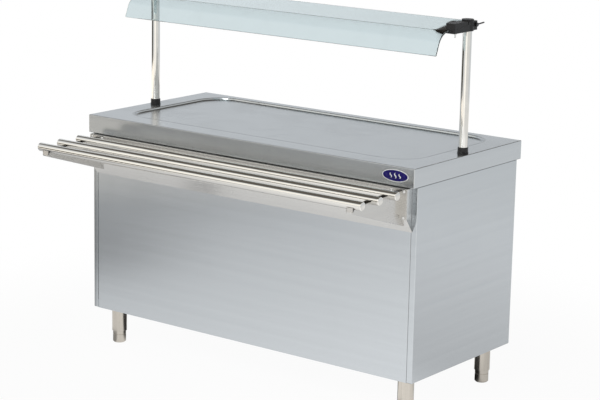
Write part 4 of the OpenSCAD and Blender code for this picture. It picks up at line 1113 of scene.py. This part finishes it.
def glass_guard():
    """A bent pane. Its middle line is straight, then an arc, then straight; at each station the
    section across it is a long rounded rectangle with polished edges, narrower behind the clamps
    and thinner over the last stretch at the front and back edges."""
    high, clamp_low = corners("glass_guard")[1], corners("clamp_body_right")[0]
    start = (clamp_low[1] - 4 * MM - POST_Y) / math.cos(math.radians(GLASS_TILT))
    turn = math.radians(GLASS_FRONT_TILT - GLASS_TILT)
    polish = GLASS_POLISH
    near_edge = polish * (1 - np.cos(np.radians(np.linspace(0, 90, 6))))
    flat = np.concatenate([near_edge, np.linspace(polish, GLASS_FLAT, 40)[1:]])
    drop = np.concatenate([np.linspace(0, GLASS_DROP - polish, 9)[1:], GLASS_DROP - near_edge[-2::-1]])
    angle = np.linspace(0, turn, 33)[1:]
    middle_r = GLASS_BEND + GLASS_T / 2
    line = [np.stack([start + GLASS_FLAT - flat, 0 * flat + GLASS_T / 2], 1)]
    line.append(np.stack([start - middle_r * np.sin(angle), middle_r * np.cos(angle) - GLASS_BEND], 1))
    line.append(line[1][-1] + drop[:, None] * [-math.cos(turn), -math.sin(turn)])
    line = np.concatenate(line)
    lean = np.concatenate([0 * flat, angle, turn + 0 * drop])
    tilt = math.radians(GLASS_TILT)
    spin = np.array([[math.cos(tilt), math.sin(tilt)], [-math.sin(tilt), math.cos(tilt)]])
    line = line @ spin + [POST_Y, clamp_low[2] + GLASS_SEAT]
    normal = np.stack([-np.sin(lean), np.cos(lean)], 1) @ spin
    neck_y, neck_x = POST_Y - NECK_FRONT, POST_X - NECK_IN
    past = np.clip((line[:, 0] - neck_y) / NECK_EASE + 0.5, 0, 1)
    wide = high[0] + (neck_x - high[0]) * past ** 2 * (3 - 2 * past)
    from_end = np.minimum(np.concatenate([flat, GLASS_FLAT + 0 * angle, GLASS_FLAT + 0 * drop]),
                          np.concatenate([GLASS_DROP + 0 * flat, GLASS_DROP + 0 * angle, GLASS_DROP - drop]))
    drawn = polish * (1 - np.sqrt(np.clip(1 - (1 - np.clip(from_end / polish, 0, 1)) ** 2, 0, 1)))
    thick = GLASS_T / 2 - drawn
    pattern = ring_pattern(4, 24, 1)
    radius = np.minimum(polish, thick - 0.05 * MM)[:, None]
    a = pattern[:, 0] * (wide - drawn - radius[:, 0])[:, None] + pattern[:, 2] * radius
    b = pattern[:, 1] * (thick[:, None] - radius) + pattern[:, 3] * radius
    rings = np.empty(a.shape + (3,))
    rings[..., 0] = a
    rings[..., 1:] = line[:, None, :] + normal[:, None, :] * b[..., None]
    pane = piece("glass_guard", [lofted(rings)], weighted=False, sharp=60)
    second_material(pane, GLASS_EDGE, lambda centres: np.abs(centres[:, 0]) > high[0] - 1.2 * MM)
    pane.visible_shadow = False


# ---------------------------------------------------------------- controls and badge

PANEL_FACE = corners("control_panel")[1][1]
KNOB_LOW, KNOB_HIGH = corners("thermostat_knob")


def thermostat_knob():
    """A skirt and a fluted grip, turned with a radius that dips twelve times round, with a
    pointer rib on top."""
    centre = ((KNOB_LOW[0] + KNOB_HIGH[0]) / 2, KNOB_LOW[1], (KNOB_LOW[2] + KNOB_HIGH[2]) / 2)
    r, deep = (KNOB_HIGH[0] - KNOB_LOW[0]) / 2, KNOB_HIGH[1] - KNOB_LOW[1]
    grip_r = r * 0.72
    skirt = bent([(3.1 * MM, 0), (r, 0), (r, 2.5 * MM), (grip_r, 4.5 * MM), (0, 4.5 * MM)],
                 [0, 0.5 * MM, 1.2 * MM, 0, 0], 5)
    grip = bent([(0, 3 * MM), (grip_r, 3 * MM), (grip_r * 0.94, deep), (0, deep)], [0, 0, 2 * MM, 0], 6)

    def flutes(angle, height):
        """The grip's radius dips with the square of a sine, above the skirt only."""
        depth = np.clip((height - 4 * MM) / (3 * MM), 0, 1)
        return 1 - 0.045 * depth * np.abs(np.sin(6 * angle)) ** 2

    rib = slab((centre[0] - 2.4 * MM, centre[1] + 3 * MM, centre[2] + 2 * MM),
               (centre[0] + 2.4 * MM, KNOB_HIGH[1], centre[2] + r - 1 * MM), 0.8 * MM, 1 * MM, "y")
    piece("thermostat_knob", [turned(skirt, centre, "y", 72), turned(grip, centre, "y", 144, flutes), rib])
    line = slab((centre[0] - 0.7 * MM, KNOB_HIGH[1] - 0.1 * MM, centre[2] + 5 * MM),
                (centre[0] + 0.7 * MM, KNOB_HIGH[1] + 0.1 * MM, centre[2] + r - 2.5 * MM),
                0.08 * MM, 0.5 * MM, "y")
    printed("knob_line", "thermostat_knob", [line], PRINT_WHITE)


def printed(name, node, surfaces, ink):
    """Print that rides with a node."""
    made = piece(node, surfaces, name=name)
    made.data.materials.clear()
    made.data.materials.append(ink)


def dial_marks():
    """Eleven ticks round the knob, the longer ones at the ends and the middle."""
    centre = np.array([(KNOB_LOW[0] + KNOB_HIGH[0]) / 2, (KNOB_LOW[2] + KNOB_HIGH[2]) / 2])
    inner = (KNOB_HIGH[0] - KNOB_LOW[0]) / 2 + 2 * MM
    surfaces = []
    for i, degrees in enumerate(np.linspace(90, 390, 11)):
        length = 5 * MM if i % 5 == 0 else 3 * MM
        direction = np.array([math.cos(math.radians(degrees)), math.sin(math.radians(degrees))])
        across = np.array([-direction[1], direction[0]]) * 0.45 * MM
        start, end = centre + direction * inner, centre + direction * (inner + length)
        outline = np.array([start - across, end - across, end + across, start + across])
        surfaces.append(plate(outline, "y", PANEL_FACE - 0.05 * MM, PANEL_FACE + 0.12 * MM, 0.05 * MM))
    printed("dial_marks", "control_panel", surfaces, MATERIALS["black_plastic"])


def panel_screws():
    """Four small button heads in the panel's corners."""
    low, high = corners("panel_screws")
    head_r, head_rise = 3.5 * MM, 2 * MM
    surfaces = []
    for x in (low[0] + head_r, high[0] - head_r):
        for z in (low[2] + head_r, high[2] - head_r):
            surfaces += button_screw(x, z, high[1] - head_rise, low[1], (head_r, head_rise),
                                     1.3 * MM, 1.9 * MM, 20)
    piece("panel_screws", surfaces)


def pilot_lamp():
    """A bezel and a ribbed lens: the lens's radius swells sixteen times round."""
    low, high = corners("pilot_lamp")
    centre = ((low[0] + high[0]) / 2, 0, (low[2] + high[2]) / 2)
    face = PANEL_FACE
    bezel = bent([(0, face), (7 * MM, face), (7 * MM, face + 2 * MM), (0, face + 2 * MM)],
                 [0, 0, 0.8 * MM, 0], 4)
    stem = [(0, low[1]), (5 * MM, low[1]), (5 * MM, face + 0.5 * MM), (0, face + 0.5 * MM)]
    angle = np.radians(np.linspace(0, 90, 8))
    lens = [(0, face + 1 * MM), (5 * MM, face + 1 * MM), (5 * MM, face + 3 * MM)]
    rim = face + 3 * MM
    lens += [(5 * MM * math.cos(a), rim + (high[1] - rim) * math.sin(a)) for a in angle[1:]]

    def ribs(angle, _height):
        """Sixteen soft ribs."""
        return 1 + 0.04 * np.cos(16 * angle)

    piece("pilot_lamp", [turned(bezel, centre, "y", 48), turned(stem, centre, "y", 32),
                         turned(lens, centre, "y", 96, ribs)])


def badge():
    """An oval plate: a raised rim round a slightly domed field, as ellipses drawn in step by
    step, with three rising steam waves on the field. A wave's line is one turn of a sine, and
    its width goes with half a turn of one, so it tapers at both ends."""
    low, high = corners("badge")
    middle, half = (low + high) / 2, (high - low) / 2
    front, back = low[1], high[1]
    path = bent([(0, back), (0, front), (2.2 * MM, front), (2.6 * MM, front + 0.5 * MM),
                 (half[2] - 1 * MM, front + 0.2 * MM)], [0, 0.5 * MM, 0.3 * MM, 0.2 * MM, 0], 4)
    path = divided(path, 4 * MM)
    angle = np.arange(96) * 2 * math.pi / 96
    rings = np.empty((len(path), 96, 3))
    rings[..., 0] = middle[0] + (half[0] - path[:, :1]) * np.cos(angle)
    rings[..., 2] = middle[2] + (half[2] - path[:, :1]) * np.sin(angle)
    rings[..., 1] = path[:, 1:]
    rim = 2.4 * MM

    def on_rim(centres):
        """Outside the ellipse of the field."""
        return np.sum(((centres - middle)[:, [0, 2]] / (half[[0, 2]] - rim)) ** 2, axis=1) >= 1

    second_material(piece("badge", [lofted(rings)]), PRINT_WHITE, on_rim)
    t = np.linspace(0, 1, 25)
    waves = []
    for shift in (-1, 0, 1):
        x = middle[0] + 17 * MM * shift + 3.2 * MM * np.sin(2 * math.pi * t)
        z = middle[2] + (t - 0.5) * (18 * MM - 3 * MM * abs(shift))
        run = unit(np.stack([np.gradient(x), np.gradient(z)], 1))
        side = np.stack([-run[:, 1], run[:, 0]], 1)
        reach = 2.1 * MM * np.sin(math.pi * np.clip(t * 0.96 + 0.02, 0, 1)) ** 0.6
        rings = np.empty((len(t), 4, 3))
        for k, (across, depth) in enumerate(((-1, 0.6), (-0.8, -0.15), (0.8, -0.15), (1, 0.6))):
            rings[:, k, 0] = x + side[:, 0] * reach * across
            rings[:, k, 2] = z + side[:, 1] * reach * across
            rings[:, k, 1] = front + depth * MM
        waves.append(lofted(rings))
    printed("badge_waves", "badge", waves, PRINT_WHITE)


# ---------------------------------------------------------------- putting it together

worktop()
front_panel()
side_panel("side_panel_right", 1)
side_panel("side_panel_left", -1)
for which in ("left", "right"):
    door(f"door_{which}", f"door_handle_{which}")
    door_handle(f"door_handle_{which}")
    tray_bracket(f"tray_bracket_{which}")
    guard_post(f"post_{which}")
    for end in ("front", "rear"):
        leg(f"leg_{end}_{which}")
        foot(f"foot_{end}_{which}")
console()
for node_name in TRAY_TUBES:
    tray_tube(node_name)
tray_tube_caps()
bracket_bolts()
post_collars()
glass_guard()
thermostat_knob()
dial_marks()
panel_screws()
pilot_lamp()
badge()

SOFT_EDGES = {
    "base_shelf": 0.35, "mid_shelf": 0.35, "rear_header": 0.3, "door_track_top": 0.4,
    "door_track_bottom": 0.4, "leg_bolts": 0.6, "post_nuts": 0.6, "clamp_body_left": 1.4,
    "clamp_body_right": 1.4, "clamp_jaw_left": 1.4, "clamp_jaw_right": 1.4, "clamp_pads": 0.4,
    "clamp_screws": 0.3, "clamp_lever_left": 0.6, "clamp_lever_right": 0.6, "heater_cover": 0.35,
    "control_panel": 0.3, "control_box": 0.35, "switch_body": 0.5, "switch_rocker": 0.5,
    "terminal_block": 0.5, "cable_gland": 0.7, "thermostat_body": 0.6,
}
for node_name, width in SOFT_EDGES.items():
    softened(node_name, width * MM, 3 if width > 1 else 2)

for node_name, shown in frame["nodes"].items():
    if not shown.hide_render:
        shown.data.materials.clear()
        shown.data.materials.append(MATERIALS[slot_of(node_name)])


# ---------------------------------------------------------------- studio

FLOOR_R = 3.2
WHITE = (1, 1, 1, 1)


def direct_view(tree):
    """1 for what is looked at straight or through glass, 0 for what is mirrored."""
    path = add(tree, "ShaderNodeLightPath").outputs
    return maths(tree, "MAXIMUM", path["Is Camera Ray"], path["Is Transmission Ray"])


def distance(tree, x, y, centre=(0.0, 0.0)):
    """How far a place in plan is from a centre."""
    across, along = maths(tree, "SUBTRACT", x, centre[0]), maths(tree, "SUBTRACT", y, centre[1])
    squares = maths(tree, "ADD", product(tree, across, across), product(tree, along, along))
    return maths(tree, "SQRT", squares)


# Where and how strong the painted pool of light and the painted shadow on the floor in front are.
PAINTED_LIGHT_AT, PAINTED_LIGHT = (-2.7, -2.4), 0.65
PAINTED_SHADOW_AT, PAINTED_SHADOW = (-1.75, -1.15), 0.42
# Strengths of the painted shadow under the cabinet and the painted shade left of each leg.
UNDER_PAINTED_SHADOW, LEG_PAINTED_SHADE = 0.94, 0.6
LEG_LEFT_X, LEG_LEFT_Y = -0.82, -0.57


def floor_tone(tree, x, y):
    """What the steel mirrors of the floor: a painted tone of light and shade. In front it falls off
    to the left, but for a painted pool of light and a painted shadow; beside and behind the counter
    it rises with distance. It has painted shadow under the cabinet and painted shade left of each leg."""
    front = maths(tree, "MINIMUM", maths(tree, "MULTIPLY_ADD", x, 0.15, 1.0), 1.06)
    painted_light = ranged(tree, distance(tree, x, y, PAINTED_LIGHT_AT), 0.8, 0.1, 0.0, PAINTED_LIGHT)
    painted_shadow = ranged(tree, distance(tree, x, y, PAINTED_SHADOW_AT), 0.8, 0.1, 0.0, PAINTED_SHADOW)
    front = maths(tree, "SUBTRACT", maths(tree, "ADD", front, painted_light), painted_shadow)
    side = maths(tree, "MINIMUM", summed(tree, x, y, 0.06, 0.085, 0.59), 1.0)
    change = product(tree, maths(tree, "SUBTRACT", side, front), ranged(tree, y, -0.2, 0.5))
    tone = maths(tree, "ADD", front, change)
    # Painted shadow under the cabinet.
    leg_x, front_y = centre_of("leg_front_right")[:2]
    rear_y = centre_of("leg_rear_right")[1]
    under = product(tree, ranged(tree, maths(tree, "ABSOLUTE", x), leg_x + 0.05, leg_x - 0.05),
                    ranged(tree, y, front_y - 0.01, front_y + 0.10), ranged(tree, y, rear_y + 0.08, rear_y))
    tone = product(tree, tone, maths(tree, "MULTIPLY_ADD", under, -UNDER_PAINTED_SHADOW, 1.0))
    # Painted shade on the left of each leg.
    middle = (front_y + rear_y) / 2
    from_leg_x = maths(tree, "MULTIPLY_ADD", maths(tree, "SIGN", x), -leg_x, x)
    back_y = maths(tree, "SUBTRACT", y, middle)
    from_leg_y = maths(tree, "MULTIPLY_ADD", maths(tree, "SIGN", back_y), middle - rear_y, back_y)
    near = distance(tree, from_leg_x, from_leg_y)
    left = maths(tree, "DIVIDE", summed(tree, from_leg_x, from_leg_y, LEG_LEFT_X, LEG_LEFT_Y), near)
    patch = product(tree, ranged(tree, near, 0.21, 0.14), ranged(tree, left, 0.35, 0.8))
    return product(tree, tone, maths(tree, "MULTIPLY_ADD", patch, -LEG_PAINTED_SHADE, 1.0))


def studio_floor():
    """A pale sheet under the counter: white where it is seen, and where it is mirrored a glow of painted
    light and shade.
    """
    angle = np.arange(96) * 2 * math.pi / 96
    radii = np.linspace(0.05, FLOOR_R, 13)
    rings = np.stack([radii[:, None] * np.cos(angle), radii[:, None] * np.sin(angle),
                      0 * radii[:, None] * angle - 0.2 * MM], -1)
    points, faces = lofted(rings, ends=False)
    mesh = bpy.data.meshes.new("floor")
    mesh.from_pydata(points.tolist(), [], faces + [list(range(96))])
    floor = bpy.data.objects.new("floor", mesh)
    bpy.context.scene.collection.objects.link(floor)
    material = bpy.data.materials.new("floor")
    material.use_nodes = True
    tree = material.node_tree
    tree.nodes.clear()
    place = add(tree, "ShaderNodeSeparateXYZ", {0: add(tree, "ShaderNodeTexCoord").outputs["Object"]})
    x, y = place.outputs["X"], place.outputs["Y"]
    reflected = add(tree, "ShaderNodeEmission", {"Color": WHITE, "Strength": floor_tone(tree, x, y)})
    white = add(tree, "ShaderNodeEmission", {"Color": WHITE, "Strength": 1.0})
    lit = add(tree, "ShaderNodeBsdfDiffuse", {"Color": (0.95, 0.95, 0.95, 1)})
    faint = ranged(tree, distance(tree, x, y), 0.9, 2.0, 0.95, 1.0)
    seen = add(tree, "ShaderNodeMixShader", {0: faint, 1: lit.outputs[0], 2: white.outputs[0]})
    show(tree, "ShaderNodeOutputMaterial", reflected, seen)
    mesh.materials.append(material)


def show(tree, kind, mirrored_shader, seen_shader):
    """An output that takes one shader in reflections and the other where it is looked at."""
    both = add(tree, "ShaderNodeMixShader",
               {0: direct_view(tree), 1: mirrored_shader.outputs[0], 2: seen_shader.outputs[0]})
    add(tree, kind, {0: both.outputs[0]})


def towards(tree, x, y, bearing):
    """The cosine of the angle in plan between a direction and a bearing, in degrees from the
    customer's side towards +X."""
    angle = math.radians(bearing)
    along = summed(tree, x, y, math.sin(angle), -math.cos(angle))
    return maths(tree, "DIVIDE", along, distance(tree, x, y))


ROUND_LEFT, ROUND_RIGHT = (0.76, 0.785, 0.81, 1), (0.80, 0.80, 0.79, 1)
LOW_BACK = (0.69, 0.72, 0.75, 1)
BELOW_LEFT, BELOW_RIGHT = (1.42, 1.33, 1.20, 1), (0.82, 0.82, 0.81, 1)
BRIGHT, SCREEN = (1.25, 1.22, 1.16, 1), (1.15, 1.12, 1.05, 1)
STRIPE, CEILING = (0.065, 0.06, 0.045, 1), (0.13, 0.12, 0.105, 1)
BRIGHT_BEARING, STRIPE_BEARING, SCREEN_BEARING = 22, -66, -32


def studio_world():
    """White behind the counter. In reflections: soft grey round about, a dark stripe low on the
    left, a bright one low in front, a light screen in front on the left, and a dark ceiling
    that comes lower at the back."""
    world = bpy.data.worlds.new("studio")
    bpy.context.scene.world = world
    world.use_nodes = True
    tree = world.node_tree
    tree.nodes.clear()
    way = add(tree, "ShaderNodeSeparateXYZ", {0: add(tree, "ShaderNodeTexCoord").outputs["Generated"]})
    x, y, z = (way.outputs[k] for k in ("X", "Y", "Z"))
    tone = blended(tree, ranged(tree, x, -0.7, 0.3), ROUND_LEFT, ROUND_RIGHT)
    below = blended(tree, ranged(tree, x, -0.6, 0.3), BELOW_LEFT, BELOW_RIGHT)
    bright = ranged(tree, towards(tree, x, y, BRIGHT_BEARING), 0.90, 0.985)
    stripe = ranged(tree, towards(tree, x, y, STRIPE_BEARING), 0.78, 0.96)
    screen = ranged(tree, towards(tree, x, y, SCREEN_BEARING), 0.75, 0.92)
    zones = [
        (product(tree, ranged(tree, z, 0.23, 0.14), ranged(tree, y, 0.2, 0.5)), LOW_BACK),
        (ranged(tree, z, -0.17, -0.2), below),
        (product(tree, bright, ranged(tree, z, 0.3, 0.0)), BRIGHT),
        (product(tree, stripe, ranged(tree, z, 0.12, 0.04), ranged(tree, z, -0.20, -0.185)), STRIPE),
        (product(tree, screen, ranged(tree, z, 0.0, 0.12), ranged(tree, z, 0.66, 0.5)), SCREEN),
        (ranged(tree, summed(tree, y, z, 0.25, 1.0), 0.48, 0.64), CEILING),
    ]
    for mask, colour in zones:
        tone = blended(tree, mask, tone, colour)
    ambient = add(tree, "ShaderNodeBackground", {"Color": tone, "Strength": 1.0})
    white = add(tree, "ShaderNodeBackground", {"Color": WHITE, "Strength": 1.0})
    show(tree, "ShaderNodeOutputWorld", ambient, white)


def soft_light(name, place, target, size, power):
    """A square soft box that looks at a point."""
    lamp = bpy.data.lights.new(name, "AREA")
    lamp.size = size
    lamp.energy = power
    made = bpy.data.objects.new(name, lamp)
    made.location = place
    made.rotation_euler = (Vector(target) - Vector(place)).to_track_quat("-Z", "Y").to_euler()
    bpy.context.scene.collection.objects.link(made)
    return made


CAMERA_PLACE = (4.0215, -5.1916, 2.1052)
CAMERA_YAW, CAMERA_PITCH, CAMERA_ROLL = 37.008, 12.796, 1.1665
CAMERA_LENS, CAMERA_SENSOR, CAMERA_REACH = 116.909, 36, 100


def camera():
    """The camera: turned by its yaw, tipped down by its pitch and rolled about its own axis."""
    yaw, pitch, roll = (math.radians(a) for a in (CAMERA_YAW, CAMERA_PITCH, CAMERA_ROLL))
    level = math.cos(pitch)
    forward = Vector((-math.sin(yaw) * level, math.cos(yaw) * level, -math.sin(pitch)))
    right = Vector((math.cos(yaw), math.sin(yaw), 0))
    up = right.cross(forward)
    across = right * math.cos(roll) + up * math.sin(roll)
    upward = up * math.cos(roll) - right * math.sin(roll)
    data = bpy.data.cameras.new("camera")
    data.lens = CAMERA_LENS
    data.sensor_width = CAMERA_SENSOR
    data.clip_end = CAMERA_REACH
    made = bpy.data.objects.new("camera", data)
    columns = Matrix((across, upward, -forward)).transposed()
    made.matrix_world = Matrix.Translation(CAMERA_PLACE) @ columns.to_4x4()
    bpy.context.scene.collection.objects.link(made)
    bpy.context.scene.camera = made


studio_floor()
studio_world()
soft_light("key_light", (0.8, -4.6, 4.2), (0, 0, 0.7), 1.8, 60)
console_end = (CONSOLE_HIGH[0] - 60 * MM, (CONSOLE_LOW[1] + CONSOLE_HIGH[1]) / 2, CONSOLE_KNEE + 40 * MM)
outside = (2, *console_end[1:])
end_light = soft_light("console_end_light", console_end, outside, 32 * MM, 0.018)
end_light.data.shape = "RECTANGLE"
end_light.data.size_y = 110 * MM
camera()
bpy.context.scene.view_settings.view_transform = "Standard"
